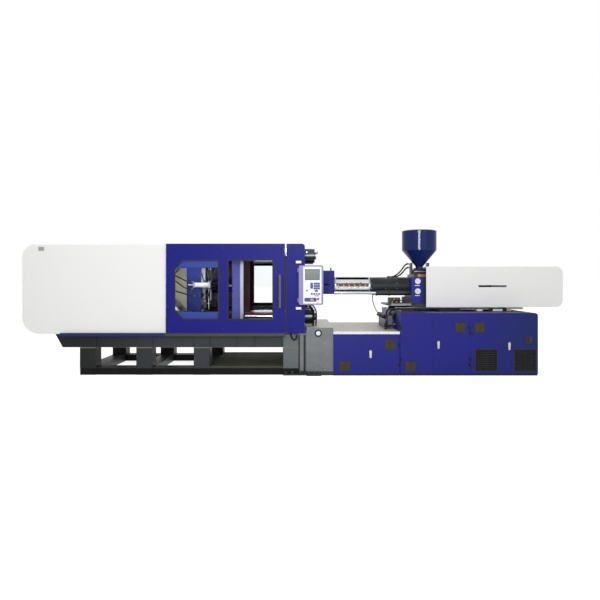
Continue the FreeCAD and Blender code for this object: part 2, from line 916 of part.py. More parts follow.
# ---------------------------------------------------------------------------
# Clamp unit: platens, tie bars and the five-point toggle
# ---------------------------------------------------------------------------
fixed_back = d.fixed_platen_face + d.fixed_platen_thickness
guard_hinge_x = fixed_back + d.guard_hinge_radius + 2
plate_back = d.moving_platen_face - d.moving_plate_thickness
flange_back = d.moving_flange_right - d.moving_flange_thickness
front_pivot = flange_back - d.front_pivot_offset
rest_angle = math.radians(SIZES["toggle_rest_angle"])
cosine = Size(math.cos(rest_angle), "cos(dims.toggle_rest_angle)")
sine = Size(math.sin(rest_angle), "sin(dims.toggle_rest_angle)")
knee_x = front_pivot - d.toggle_link_length * cosine
knee_height = d.toggle_pivot_height - d.toggle_link_length * sine
rear_pivot = knee_x - d.toggle_link_length * cosine
rear_platen_face = rear_pivot - d.rear_pivot_offset
rear_platen_back = rear_platen_face - d.rear_platen_thickness
tie_bar_spots = [
    (d.tie_bar_offset_y * y, d.tie_bar_offset_z * z) for y in (-1, 1) for z in (-1, 1)
]
tie_bar_bore = d.tie_bar_radius + d.running_gap


def platen_outline(half, corner, bottom):
    """A square plate with cut top corners that reaches down to its feet."""
    return [
        (-half, bottom), (half, bottom), (half, half - corner), (half - corner, half),
        (corner - half, half), (-half, half - corner),
    ]


def fixed_platen():
    """The fixed platen: locating bore and nozzle cone, tie bar bores and four mould bolt holes."""
    body = start_body("fixed_platen", (0, 0, d.centre_height))
    outline = platen_outline(d.platen_half_width, d.platen_corner, d.base_top - d.centre_height)
    bores = [(spot, tie_bar_bore) for spot in tie_bar_spots]
    pad(body, "YZ", d.fixed_platen_face, d.fixed_platen_thickness, [outline], bores)
    step = d.fixed_platen_face + d.locating_bore_depth
    nozzle_way = [
        (d.fixed_platen_face - 1, 0),
        (d.fixed_platen_face - 1, d.locating_bore_radius),
        (step, d.locating_bore_radius),
        (fixed_back + 1, d.sprue_cone_radius),
        (fixed_back + 1, 0),
    ]
    turn(body, "XZ", "H_Axis", [nozzle_way], remove=True)
    offset = d.mould_bolt_offset
    bolts = [((offset * y, offset * z), d.mould_bolt_radius) for y in (-1, 1) for z in (-1, 1)]
    pocket(body, "YZ", d.fixed_platen_face, d.mould_bolt_depth, [], bolts, along_normal=True)
    height = d.guard_top - d.centre_height
    lug = rectangle(fixed_back, guard_hinge_x + 14, height - 14, height + 14)
    hole = ((guard_hinge_x, height), d.guard_hinge_radius + d.running_gap)
    for side in (-1, 1):
        inner = d.guard_half_width + d.slide_gap
        level = inner if side < 0 else -inner - d.guard_lug_width
        pad(body, "XZ", level, d.guard_lug_width, [lug], [hole])
    return keep(body)


def tie_bars():
    """Four tie bars, each with its round nut on the back of the fixed platen."""
    pieces = []
    end = fixed_back + d.tie_bar_nut_length
    for i, (y, z) in enumerate(tie_bar_spots):
        height = d.centre_height + z
        pieces.append(rod(f"tie_bar_{i}", "x", (d.tie_bar_rear, y, height), d.tie_bar_radius,
                          end + 20 - d.tie_bar_rear))
        blank = rod(f"nut_blank_{i}", "x", (fixed_back, y, height), d.tie_bar_nut_radius,
                    d.tie_bar_nut_length)
        bore = rod(f"nut_bore_{i}", "x", (fixed_back - 1, y, height), tie_bar_bore,
                   d.tie_bar_nut_length + 2)
        pieces.append(cut(f"tie_bar_nut_{i}", blank, [bore]))
    return keep(group("tie_bars", pieces))


def platen_feet(body, level, depth, half):
    """Two feet that slide on the hardened strips."""
    foot = slideway_top + d.slide_gap - d.centre_height
    feet = [
        rectangle(slideway_offset * side - d.slideway_width / 2,
                  slideway_offset * side + d.slideway_width / 2, foot, -half)
        for side in (-1, 1)
    ]
    pad(body, "YZ", level, depth, feet)


def moving_platen():
    """The moving platen: a mould plate and a rear flange on four sleeves and two webs.

    The toggle lugs behind the flange have slots, and the ejector cylinder sits inside.
    """
    body = start_body("moving_platen_casting", (0, 0, d.centre_height))
    half = d.moving_platen_half
    bores = [(spot, tie_bar_bore) for spot in tie_bar_spots]
    rods = [((d.ejector_rod_offset * side, 0), d.ejector_rod_radius + d.running_gap) for side in (-1, 1)]
    outline = platen_outline(half, d.platen_corner, -half)
    pad(body, "YZ", plate_back, d.moving_plate_thickness, [outline], bores + rods)
    pad(body, "YZ", flange_back, d.moving_flange_thickness, [outline], bores)
    span = plate_back - d.moving_flange_right
    sleeves = [(spot, d.moving_sleeve_radius) for spot in tie_bar_spots]
    pad(body, "YZ", d.moving_flange_right, span, [], sleeves + bores)
    web = d.moving_web_half_height
    gap = d.moving_web_window
    near = d.moving_web_offset
    far = near + d.moving_web_thickness
    webs = [
        rectangle(near, far, gap, web), rectangle(near, far, -web, -gap),
        rectangle(-far, -near, gap, web), rectangle(-far, -near, -web, -gap),
    ]
    pad(body, "YZ", d.moving_flange_right, span, webs)
    platen_feet(body, plate_back, d.moving_plate_thickness, half)
    platen_feet(body, flange_back, d.moving_flange_thickness, half)
    edge = d.toggle_eye_radius
    lug_end = front_pivot - d.pivot_slot_travel - edge
    slot_radius = d.toggle_pin_radius + d.slide_gap
    inner = d.toggle_inner_plane + d.slide_gap
    width = d.toggle_outer_plane - d.slide_gap - inner
    for level in (-1, 1):
        middle = d.toggle_pivot_height * level
        lug = rectangle(lug_end, flange_back, middle - edge, middle + edge)
        slot = rectangle(front_pivot - d.pivot_slot_travel, front_pivot,
                         middle - slot_radius, middle + slot_radius)
        ends = [((front_pivot - d.pivot_slot_travel, middle), slot_radius)]
        for side in (-1, 1):
            start = inner if side < 0 else -inner - width
            pad(body, "XZ", start, width, [lug])
            pocket(body, "XZ", start, width, [slot], along_normal=True)
            pocket(body, "XZ", start, width, [], ends, along_normal=True)
            pocket(body, "XZ", start, width, [], [((front_pivot, middle), slot_radius)], along_normal=True)
    offset = d.mould_bolt_offset
    bolts = [((offset * y, offset * z), d.mould_bolt_radius) for y in (-1, 1) for z in (-1, 1)]
    pocket(body, "YZ", d.moving_platen_face, d.mould_bolt_depth, [], bolts)
    tube = rod("ejector_tube", "x", (d.moving_flange_right, 0, d.centre_height),
               d.ejector_cylinder_radius, d.ejector_cylinder_length)
    hole = rod("ejector_tube_bore", "x", (d.moving_flange_right + 20, 0, d.centre_height),
               d.ejector_piston_radius + d.running_gap, d.ejector_cylinder_length)
    return keep(group("moving_platen", [body, cut("ejector_cylinder", tube, [hole])]))


def pivot_pin(name, x, height, radius, half_width):
    """A pin across the machine at a pivot."""
    return rod(name, "y", (x, -half_width, d.centre_height + height), radius, half_width * 2)


def rear_platen():
    """The rear platen: paired lugs that carry the toggles, and its two pivot pins."""
    body = start_body("rear_platen_casting", (0, 0, d.centre_height))
    half = d.rear_platen_half
    rod_bore = d.piston_rod_radius + d.running_gap
    bores = [(spot, tie_bar_bore) for spot in tie_bar_spots] + [((0, 0), rod_bore)]
    pad(body, "YZ", rear_platen_back, d.rear_platen_thickness,
        [platen_outline(half, d.platen_corner, -half)], bores)
    platen_feet(body, rear_platen_back, d.rear_platen_thickness, half)
    edge = d.toggle_eye_radius
    inner = d.toggle_outer_plane + d.slide_gap
    width = d.toggle_lug_plane - inner
    pins = []
    for level, word in ((-1, "lower"), (1, "upper")):
        middle = d.toggle_pivot_height * level
        lug = [
            (rear_platen_face, middle - edge * 1.3), (rear_pivot, middle - edge),
            (rear_pivot + edge * 0.8, middle - edge * 0.4), (rear_pivot + edge * 0.8, middle + edge * 0.4),
            (rear_pivot, middle + edge * 0.85), (rear_platen_face, middle + edge * 0.85),
        ]
        for side in (-1, 1):
            start = inner if side < 0 else -d.toggle_lug_plane
            pad(body, "XZ", start, width, [lug])
            spot = (rear_pivot, middle)
            pocket(body, "XZ", start, width, [], [(spot, d.toggle_pin_radius)], along_normal=True)
        pins.append(pivot_pin(f"rear_pin_{word}", rear_pivot, middle, d.toggle_pin_radius,
                              d.toggle_lug_plane))
    return keep(group("rear_platen", [body] + pins))


def along(slope, back, points):
    """Points given along a link and across it, in the link body's own XZ plane."""
    return [(slope[0] * x + back[0] * y, slope[1] * x + back[1] * y) for x, y in points]


def link_plate(body, start, width, length, slope, root_radius, end_radius, waist):
    """One flat link plate between two pivots, with round eyes and a straight waist.

    The link leaves the body's origin towards (cos, sin) of its slope in the XZ plane.
    """
    along_x, along_z = slope
    end = (length * along_x, length * along_z)
    side_x = -along_z * waist
    side_z = along_x * waist
    bar = [
        (side_x, side_z), (-side_x, -side_z),
        (end[0] - side_x, end[1] - side_z), (end[0] + side_x, end[1] + side_z),
    ]
    pad(body, "XZ", start, width, [bar])
    pad(body, "XZ", start, width, [], [((0, 0), root_radius)])
    pad(body, "XZ", start, width, [], [(end, end_radius)])
    return end


def rear_toggle_link(level, word):
    """The rear link: two plates with crosshead levers, joined by a web, and the knee pin."""
    name = f"rear_toggle_link_{word}"
    height = d.toggle_pivot_height * level
    slope = (cosine, -sine * level)
    back = (-sine, -cosine * level)
    arm, offset = d.crosshead_lever_arm, d.crosshead_lever_offset
    eye = d.crosshead_eye_radius
    body = start_body(name + "_casting", (rear_pivot, 0, d.centre_height + height))
    lever = along(slope, back, [(arm, offset)])[0]
    lug = along(slope, back, [(arm - 190, 0), (arm - eye * 0.7, offset + eye * 0.7),
                              (arm + eye * 0.8, offset + eye * 0.6), (arm + 110, 0)])
    width = d.toggle_outer_plane - d.toggle_inner_plane
    for side in (-1, 1):
        start = d.toggle_inner_plane if side < 0 else -d.toggle_outer_plane
        end = link_plate(body, start, width, d.toggle_link_length, slope, d.toggle_eye_radius,
                         d.toggle_eye_radius, d.toggle_link_thickness / 2)
        pad(body, "XZ", start, width, [lug])
        pad(body, "XZ", start, width, [], [(lever, eye)])
    web = along(slope, back, [(100, -30), (170, -30), (170, 30), (100, 30)])
    pad(body, "XZ", -d.toggle_inner_plane, d.toggle_inner_plane * 2, [web])
    holes = [((0, 0), d.toggle_pin_radius + d.running_gap), (end, d.toggle_pin_radius)]
    pocket(body, "XZ", -d.toggle_outer_plane, d.toggle_outer_plane * 2, [], holes, along_normal=True)
    pin = pivot_pin(f"knee_pin_{word}", knee_x, knee_height * level, d.toggle_pin_radius,
                    d.toggle_lug_plane)
    return keep(group(name, [body, pin]))


def front_toggle_link(level, word):
    """The front link: two outer plates joined by a web, with the front pin pressed in."""
    name = f"front_toggle_link_{word}"
    slope = (cosine, sine * level)
    back = (-sine, cosine * level)
    body = start_body(name + "_casting", (knee_x, 0, d.centre_height + knee_height * level))
    inner = d.toggle_outer_plane + d.slide_gap
    width = d.toggle_lug_plane - inner
    for side in (-1, 1):
        start = inner if side < 0 else -d.toggle_lug_plane
        end = link_plate(body, start, width, d.toggle_link_length, slope, d.toggle_eye_radius,
                         d.toggle_eye_radius, d.toggle_link_thickness / 2)
    web = along(slope, back, [(200, -28), (290, -28), (290, 28), (200, 28)])
    pad(body, "XZ", -inner, inner * 2, [web])
    holes = [((0, 0), d.toggle_pin_radius + d.running_gap), (end, d.toggle_pin_radius)]
    pocket(body, "XZ", -d.toggle_lug_plane, d.toggle_lug_plane * 2, [], holes, along_normal=True)
    pin = pivot_pin(f"front_pin_{word}", front_pivot, d.toggle_pivot_height * level,
                    d.toggle_pin_radius, d.toggle_lug_plane)
    return keep(group(name, [body, pin]))


# the crosshead pin lies behind the rear link's lever hole by one crosshead link
lever_x = rear_pivot + d.crosshead_lever_arm * cosine - d.crosshead_lever_offset * sine
lever_height = d.toggle_pivot_height - d.crosshead_lever_arm * sine - d.crosshead_lever_offset * cosine
lever_rise = lever_height - d.crosshead_pin_height
lever_run_number = math.sqrt(SIZES["crosshead_link_length"] ** 2 - lever_rise.number ** 2)
lever_run = Size(
    lever_run_number,
    f"sqrt(dims.crosshead_link_length ^ 2 - {lever_rise.formula} ^ 2)",
)
crosshead_x = lever_x - lever_run


crosshead_outer = d.toggle_inner_plane - d.slide_gap


def crosshead():
    """The crosshead on its two guide rods, with its link pins and the clamp piston rod."""
    body = start_body("crosshead_casting", (crosshead_x, 0, d.centre_height))
    half = d.crosshead_half_length
    arm = d.crosshead_arm_half_height
    guide_edge = d.crosshead_guide_offset + d.crosshead_guide_radius * 1.6
    guide_bore = d.crosshead_guide_radius + d.running_gap
    guides = [((d.crosshead_guide_offset * side, 0), guide_bore) for side in (-1, 1)]
    pad(body, "YZ", -half, half * 2, [rectangle(-guide_edge, guide_edge, -arm, arm)], guides)
    top = d.crosshead_pin_height + d.crosshead_eye_radius
    inner = d.crosshead_inner_plane
    pad(body, "YZ", -half, half * 2, [rectangle(-inner, inner, -top, top)])
    spots = [((0, d.crosshead_pin_height * level), d.crosshead_pin_radius) for level in (-1, 1)]
    pocket(body, "XZ", -inner, inner * 2, [], spots, along_normal=True)
    pieces = [body]
    for level, word in ((-1, "lower"), (1, "upper")):
        pieces.append(pivot_pin(f"crosshead_pin_{word}", crosshead_x, d.crosshead_pin_height * level,
                                d.crosshead_pin_radius, crosshead_outer))
    length = crosshead_x - half - rear_platen_back + d.clamp_cylinder_length / 2
    pieces.append(rod("clamp_piston_rod", "x", (crosshead_x - half - length, 0, d.centre_height),
                      d.piston_rod_radius, length))
    return keep(group("crosshead", pieces))


def crosshead_link(level, word):
    """One crosshead link: two plates joined by a web, from the crosshead pin to the rear link."""
    name = f"crosshead_link_{word}"
    length = d.crosshead_link_length
    slope = (lever_run / length, lever_rise / length * level)
    back = (-lever_rise / length, lever_run / length * level)
    body = start_body(name, (crosshead_x, 0, d.centre_height + d.crosshead_pin_height * level))
    inner = d.crosshead_inner_plane + d.slide_gap
    width = crosshead_outer - inner
    for side in (-1, 1):
        start = inner if side < 0 else -crosshead_outer
        link_plate(body, start, width, length, slope, d.crosshead_eye_radius,
                   d.crosshead_eye_radius, d.crosshead_eye_radius * 0.7)
    web = along(slope, back, [(95, -20), (140, -20), (140, 20), (95, 20)])
    pad(body, "XZ", -inner, inner * 2, [web])
    bore = d.crosshead_pin_radius + d.running_gap
    pocket(body, "XZ", -crosshead_outer, crosshead_outer * 2, [], [((0, 0), bore)], along_normal=True)
    return keep(body)


def clamp_cylinder():
    """The clamp cylinder behind the rear platen, bored for its rod, and the crosshead guides."""
    body = start_body("clamp_cylinder_tube", (rear_platen_back, 0, d.centre_height))
    radius = d.clamp_cylinder_radius
    length = d.clamp_cylinder_length
    cap = radius * 1.18
    bore = d.piston_rod_radius + d.running_gap
    profile = [
        (0, bore), (0, cap + 30), (-50, cap + 30), (-50, radius), (120 - length, radius),
        (120 - length, cap), (-length, cap), (-length, 0), (140 - length, 0), (140 - length, bore),
    ]
    pieces = [turn(body, "XZ", "H_Axis", [profile])]
    for side in (-1, 1):
        y = d.crosshead_guide_offset * side
        pieces.append(rod(f"crosshead_guide_{side + 1}", "x", (rear_platen_face, y, d.centre_height),
                          d.crosshead_guide_radius, d.crosshead_guide_length))
    return keep(group("clamp_cylinder", pieces))


def mould_height_gear():
    """The mould height gear: a ring behind the rear platen and a geared nut on each tie bar."""
    body = start_body("gear_ring", (0, 0, d.centre_height))
    thick = d.gear_plate_thickness
    ring = d.gear_ring_radius
    left = rear_platen_back - thick
    turn(body, "XZ", "H_Axis", [rectangle(left, left + thick, ring - d.gear_ring_width, ring)])
    pieces = [body]
    for i, (y, z) in enumerate(tie_bar_spots):
        height = d.centre_height + z
        blank = rod(f"rear_nut_blank_{i}", "x", (rear_platen_back - thick * 2, y, height),
                    d.gear_nut_radius, thick * 2)
        bore = rod(f"rear_nut_bore_{i}", "x", (rear_platen_back - thick * 2 - 1, y, height),
                   tie_bar_bore, thick * 2 + 2)
        pieces.append(cut(f"rear_nut_{i}", blank, [bore]))
    return keep(group("mould_height_gear", pieces))


def ejector():
    """The ejector bar between the platen's webs, with its piston rod and two ejector rods."""
    left = d.ejector_bar_left
    half = d.ejector_rod_offset + d.ejector_rod_radius * 3
    high = d.ejector_bar_half_height
    bar = box("ejector_bar", (left, -half, d.centre_height - high),
              (left + d.ejector_bar_thickness, half, d.centre_height + high))
    inside = d.moving_flange_right + 40
    rods = [rod("ejector_piston", "x", (inside, 0, d.centre_height), d.ejector_piston_radius, left - inside)]
    for side in (-1, 1):
        rods.append(rod(f"ejector_rod_{side + 1}", "x",
                        (left, d.ejector_rod_offset * side, d.centre_height), d.ejector_rod_radius,
                        d.moving_platen_face - 5 - left))
    return keep(fuse("ejector_bar_and_rods", [bar] + rods))


# ---------------------------------------------------------------------------
# Covers and doors round the clamp
# ---------------------------------------------------------------------------
def clamp_cover():
    """The clamp cover: one rounded sheet-metal shell, open below and towards the mould space."""
    sheet_gauge = d.cover_sheet
    left, right = d.cover_left, d.cover_right
    half = d.cover_half_width
    outer = rectangle(left, right, d.cover_bottom, d.cover_top)
    body = start_body("clamp_cover_blank")
    pad(body, "XZ", -half, half * 2, [outer])
    rounded(body, d.cover_top_radius, lambda e: runs_along(e, "y") and passes(
        e, {"x": left, "z": d.cover_top}))
    rounded(body, d.cover_bottom_radius, lambda e: runs_along(e, "y") and passes(
        e, {"x": left, "z": d.cover_bottom}))
    band = d.cover_band_proud
    pad(body, "XZ", -half - band, (half + band) * 2,
        [rectangle(right - d.cover_band_width, right, d.cover_bottom, d.cover_top + band)])
    inner = start_body("clamp_cover_space")
    floor_end = d.leg_1_left - d.overhang_top
    pad(inner, "XZ", sheet_gauge - half, (half - sheet_gauge) * 2,
        [rectangle(left + sheet_gauge, right + 1, d.cover_bottom + sheet_gauge, d.cover_top - sheet_gauge)])
    rounded(inner, d.cover_top_radius - sheet_gauge, lambda e: runs_along(e, "y") and passes(
        e, {"x": left + sheet_gauge, "z": d.cover_top - sheet_gauge}))
    rounded(inner, d.cover_bottom_radius - sheet_gauge, lambda e: runs_along(e, "y") and passes(
        e, {"x": left + sheet_gauge, "z": d.cover_bottom + sheet_gauge}))
    base_room = box("clamp_cover_base_room", (floor_end, sheet_gauge - half, d.cover_bottom - 1),
                    (right + 1, half - sheet_gauge, d.cover_bottom + sheet_gauge + 1))
    pieces = [cut("clamp_cover_shell", body, [inner, base_room])]
    ledge = half - d.cover_ledge
    for side in (-1, 1):
        edges = sorted((ledge * side, (half - 1) * side), key=lambda edge: edge.number)
        pieces.append(box(f"clamp_cover_ledge_{side + 1}", (floor_end - sheet_gauge, edges[0], d.base_top),
                          (right, edges[1], d.base_top + sheet_gauge)))
    return keep(fuse("clamp_cover", pieces))


def door_panel(name, side, windows):
    """A sliding door leaf with window openings."""
    outline = rectangle(d.door_left, d.door_right, d.door_bottom, d.door_top)
    level = door_inner_face if side < 0 else -door_inner_face - d.door_thickness
    body = start_body(name)
    return pad(body, "XZ", level, d.door_thickness, [outline] + windows)


def near_windows(edge):
    """The operator door's two window outlines, grown outwards by an edge."""
    cut_off = d.door_window_chamfer
    left, right = d.door_window_1_left - edge, d.door_window_1_right + edge
    bottom, top = d.door_window_bottom - edge, d.door_window_top + edge
    first = [
        (left + cut_off, bottom), (right, bottom), (right, top), (left + cut_off, top),
        (left, top - cut_off), (left, bottom + cut_off),
    ]
    second = rectangle(d.door_window_2_left - edge, d.door_window_2_right + edge, bottom, top)
    return [first, second]


def far_windows(edge):
    return [rectangle(d.rear_window_left - edge, d.rear_window_right + edge,
                      d.rear_window_bottom - edge, d.rear_window_top + edge)]


def window_glass(name, side, outlines):
    """Clear panes screwed to the inside of a door."""
    inner = door_inner_face
    level = inner - d.door_glass if side < 0 else -inner
    pieces = []
    for i, outline in enumerate(outlines):
        body = start_body(f"{name}_{i}")
        pieces.append(pad(body, "XZ", level, d.door_glass, [outline]))
    return keep(group(name, pieces))


def door_grip(name, side):
    """The upright bar handle on its two feet."""
    face = door_inner_face + d.door_thickness
    reach = d.door_handle_reach
    left, right = d.door_handle_left, d.door_handle_left + d.door_handle_width
    body = start_body(name)
    foot = d.door_handle_width * 1.4
    level = face if side < 0 else -face - reach
    pad(body, "XZ", level, reach, [
        rectangle(left, right, d.door_handle_bottom, d.door_handle_bottom + foot),
        rectangle(left, right, d.door_handle_top - foot, d.door_handle_top),
    ])
    level = face + reach if side < 0 else -face - reach * 2
    pad(body, "XZ", level, reach, [rectangle(left, right, d.door_handle_bottom, d.door_handle_top)])
    return body


def doors():
    leaf = door_panel("operator_door_leaf", -1, near_windows(0))
    keep(group("operator_door", [leaf, door_grip("operator_door_grip", -1)]))
    window_glass("operator_door_windows", -1, near_windows(d.door_glass_edge))
    leaf = door_panel("rear_door_leaf", 1, far_windows(0))
    keep(leaf)
    leaf.Label = "rear_door"
    window_glass("rear_door_windows", 1, far_windows(d.door_glass_edge))


def door_tracks():
    """On each side a bottom track bolted to the base's legs, and a top rail behind the door."""
    pieces = []
    outer = door_inner_face + d.door_thickness
    shelf = d.cover_bottom - d.slide_gap
    for side in (-1, 1):
        faces = [d.base_half_width * side, outer * side]
        lip = [(door_inner_face + d.track_lip) * side, (outer - d.track_lip) * side]
        faces.sort(key=lambda face: face.number)
        lip.sort(key=lambda face: face.number)
        right = d.door_right + d.track_end
        shelf_plate = box(f"track_shelf_{side + 1}", (d.track_left, faces[0], d.track_bottom),
                          (right, faces[1], shelf))
        lip_bar = box(f"track_lip_{side + 1}", (d.track_left, lip[0], shelf - 1),
                      (right, lip[1], d.door_bottom - d.slide_gap))
        pieces.append(fuse(f"bottom_track_{side + 1}", [shelf_plate, lip_bar]))
        inner = door_inner_face - d.slide_gap - d.door_glass - 2
        rail = [(inner - d.top_rail_thickness) * side, inner * side]
        rail.sort(key=lambda face: face.number)
        high = d.cover_top - d.top_rail_drop
        pieces.append(box(f"top_rail_{side + 1}", (d.cover_right, rail[0], high - d.top_rail_height),
                          (d.panel_left, rail[1], high)))
    return keep(group("door_tracks", pieces))


def side_panels():
    """A fixed panel each side of the fixed platen, with a flange back to the platen's edge."""
    pieces = []
    for side in (-1, 1):
        face = machine_half_width
        body = start_body(f"side_panel_{side + 1}")
        left, right = d.panel_left, d.panel_right
        corner = d.panel_corner
        outline = [
            (left, d.door_bottom), (right, d.door_bottom), (right, d.door_top - corner),
            (right - corner, d.door_top), (left, d.door_top),
        ]
        level = face - d.panel_sheet if side < 0 else -face
        pad(body, "XZ", level, d.panel_sheet, [outline])
        flange = rectangle(right - d.panel_sheet, right, d.door_bottom, d.door_top - corner)
        level = d.platen_half_width if side < 0 else d.panel_sheet - face
        pieces.append(pad(body, "XZ", level, face - d.panel_sheet - d.platen_half_width, [flange]))
    return keep(group("side_panels", pieces + control_brackets()))


# ---------------------------------------------------------------------------
# Control box
# ---------------------------------------------------------------------------
control_right = d.control_box_left + d.control_box_width
control_top = d.control_box_bottom + d.control_box_height
control_hinge_x = d.control_box_left - d.control_hinge_radius - 3
control_hinge_y = d.control_box_depth / 2 - d.control_box_face
control_hinge_heights = (d.control_box_bottom + 40, control_top - 100)


def control_box():
    """The control box: a rounded housing whose front frame stands round a sunk panel."""
    body = start_body("control_box_housing")
    left, right = d.control_box_left, control_right
    bottom, top = d.control_box_bottom, control_top
    depth = d.control_box_depth
    pad(body, "XZ", d.control_box_face - depth, depth, [rectangle(left, right, bottom, top)])
    rounded(body, d.control_box_radius, lambda e: runs_along(e, "y"))
    face = d.control_box_face
    pocket(body, "XZ", face, 5, [rectangle(left + 66, right - 26, bottom + 20, top - 20)])
    screen_left = left + 96
    screen_top = top - 62
    screen = rectangle(screen_left, screen_left + d.control_screen_width,
                       screen_top - d.control_screen_height, screen_top)
    pad(body, "XZ", face - 5, 3, [screen])
    low = bottom + d.control_button_drop
    seats = [
        ((control_right - 76, low + 14), d.emergency_button_radius * 0.6 + d.slide_gap),
        ((left + 196, low), d.cycle_button_radius * 0.9 + d.slide_gap),
    ]
    pocket(body, "XZ", face - 5, d.button_seat + d.button_stroke + 2, [], seats)
    leaves = []
    for i, height in enumerate(control_hinge_heights):
        knuckle = rod(f"hinge_knuckle_{i}", "z", (control_hinge_x, control_hinge_y, height),
                      d.control_hinge_radius, 60)
        leaf = box(f"hinge_leaf_{i}", (control_hinge_x, control_hinge_y - 4, height),
                   (left + 2, control_hinge_y + 4, height + 60))
        bore = rod(f"hinge_bore_{i}", "z", (control_hinge_x, control_hinge_y, height - 1),
                   d.control_hinge_pin + d.running_gap, 62)
        leaves.append(cut(f"hinge_{i}", fuse(f"hinge_solid_{i}", [knuckle, leaf]), [bore]))
    return keep(fuse("control_box", [body] + leaves))


def control_brackets():
    """Two brackets on the near side panel that carry the hinge pins of the control box."""
    face = -machine_half_width
    pieces = []
    for i, height in enumerate(control_hinge_heights):
        arm = box(f"bracket_arm_{i}", (control_hinge_x - 30, control_hinge_y - d.bracket_reach, height - 12),
                  (control_hinge_x + d.bracket_reach, face, height - d.slide_gap))
        foot = box(f"bracket_foot_{i}", (control_hinge_x - 44, face - 6, height - 40),
                   (control_hinge_x + 30, face, height - d.slide_gap))
        pin = rod(f"bracket_pin_{i}", "z", (control_hinge_x, control_hinge_y, height - 10),
                  d.control_hinge_pin, 68)
        pieces.append(fuse(f"bracket_{i}", [arm, foot, pin]))
    return pieces


def panel_button(name, x, z, radius, head_radius, reach):
    """A push button: a stem that slides in the sunk panel, and a domed head."""
    body = start_body(name, (x, 5 + d.button_seat - d.control_box_face, z))
    seat = d.button_seat + d.button_stroke + 1
    profile = [
        (0, 0), (0, radius), (-seat, radius), (-seat, head_radius),
        (-seat - reach * 0.7, head_radius), (-seat - reach, head_radius * 0.7), (-seat - reach, 0),
    ]
    turn(body, "YZ", "H_Axis", [profile])
    return keep(body)


def control_buttons():
    low = d.control_box_bottom + d.control_button_drop
    panel_button("emergency_stop_button", control_right - 76, low + 14,
                 d.emergency_button_radius * 0.6, d.emergency_button_radius, 11)
    panel_button("cycle_start_button", d.control_box_left + 196, low, d.cycle_button_radius * 0.9,
                 d.cycle_button_radius, 4)
    body = start_body("mode_selector_knob", (control_right - 76, 5 - d.control_box_face - d.slide_gap, low - 34))
    turn(body, "YZ", "H_Axis", [[(0, 0), (0, d.selector_radius), (-9, d.selector_radius), (-9, 0)]])
    pad(body, "XZ", 9, 9, [rectangle(-4, 4, -13, 13)])
    keep(body)


# ---------------------------------------------------------------------------
# Nozzle guard
# ---------------------------------------------------------------------------
guard_left = fixed_back + d.guard_gap


def nozzle_guard():
    """The purge guard: a folded hood open below and towards the platen, slit near and far."""
    half = d.guard_half_width
    gauge = d.guard_sheet
    hood = box("guard_block", (guard_left, -half, d.guard_bottom), (d.guard_right, half, d.guard_top))
    barrel_way = d.pull_rod_offset + d.pull_rod_radius + 14
    middle = (d.guard_bottom + d.guard_top) / 2 - 45
    space = box("guard_space", (guard_left - 1, gauge - half, d.guard_bottom - 1),
                (d.guard_right - gauge, half - gauge, d.guard_top - gauge))
    exit_way = box("guard_exit", (d.guard_right - gauge - 1, -barrel_way, d.guard_bottom - 1),
                   (d.guard_right + 1, barrel_way, d.centre_height + d.barrel_head_radius + 25))
    slit = box("guard_slit", (guard_left + 70, -half - 1, middle),
               (d.guard_right - 70, half + 1, middle + d.guard_slit_height))
    shell = cut("guard_shell", hood, [space, exit_way, slit])
    grip = fuse("guard_grip", [
        box("guard_grip_foot_near", (d.guard_right - 52, -62, d.guard_top - 1),
            (d.guard_right - 36, -46, d.guard_top + 34)),
        box("guard_grip_foot_far", (d.guard_right - 52, 46, d.guard_top - 1),
            (d.guard_right - 36, 62, d.guard_top + 34)),
        box("guard_grip_bar", (d.guard_right - 52, -62, d.guard_top + 34),
            (d.guard_right - 36, 62, d.guard_top + 50)),
    ])
    hinge_half = half + d.guard_lug_width * 0.8
    hinge = rod("guard_hinge", "y", (guard_hinge_x, -hinge_half, d.guard_top), d.guard_hinge_radius,
                hinge_half * 2)
    return keep(fuse("nozzle_guard", [shell, grip, hinge]))


# ---------------------------------------------------------------------------
# Injection unit: barrel, covers, carriage and injection drive
# ---------------------------------------------------------------------------
barrel_end = d.housing_left
nozzle_end = d.nozzle_tip + d.nozzle_length
shoe_top = d.housing_bottom


def barrel():
    """The barrel with its head and nozzle, bored for the screw, and its heater bands."""
    bore = d.screw_radius + d.running_gap
    body = start_body("barrel_body", (0, 0, d.centre_height))
    head_end = nozzle_end + d.barrel_head_length
    profile = [
        (d.nozzle_tip, 4), (d.nozzle_tip, d.nozzle_tip_radius), (d.nozzle_tip + 30, d.nozzle_radius),
        (nozzle_end, d.nozzle_radius), (nozzle_end, d.barrel_head_radius),
        (head_end, d.barrel_head_radius), (head_end, d.barrel_radius), (barrel_end, d.barrel_radius),
        (barrel_end, bore), (head_end, bore), (nozzle_end + 20, 8), (nozzle_end, 4),
    ]
    turn(body, "XZ", "H_Axis", [profile])
    pieces = [body]
    for i in range(2):
        band = start_body(f"heater_band_{i}", (head_end + 12 + 92 * i, 0, d.centre_height))
        ring = rectangle(0, 80, d.barrel_radius + d.running_gap, d.heater_band_radius)
        pieces.append(turn(band, "XZ", "H_Axis", [ring]))
    return keep(group("barrel", pieces))


def barrel_cover(name, left, right):
    """A round cover over the heated barrel, on two rings that sit on the barrel."""
    body = start_body(name, (0, 0, d.centre_height))
    outer = d.barrel_cover_radius
    inner = outer - d.barrel_cover_sheet
    seat = d.barrel_radius + d.running_gap
    ring = 12
    profile = [
        (left, seat), (left + ring, seat), (left + ring, inner), (right - ring, inner),
        (right - ring, seat), (right, seat), (right, outer), (left, outer),
    ]
    return keep(turn(body, "XZ", "H_Axis", [profile]))


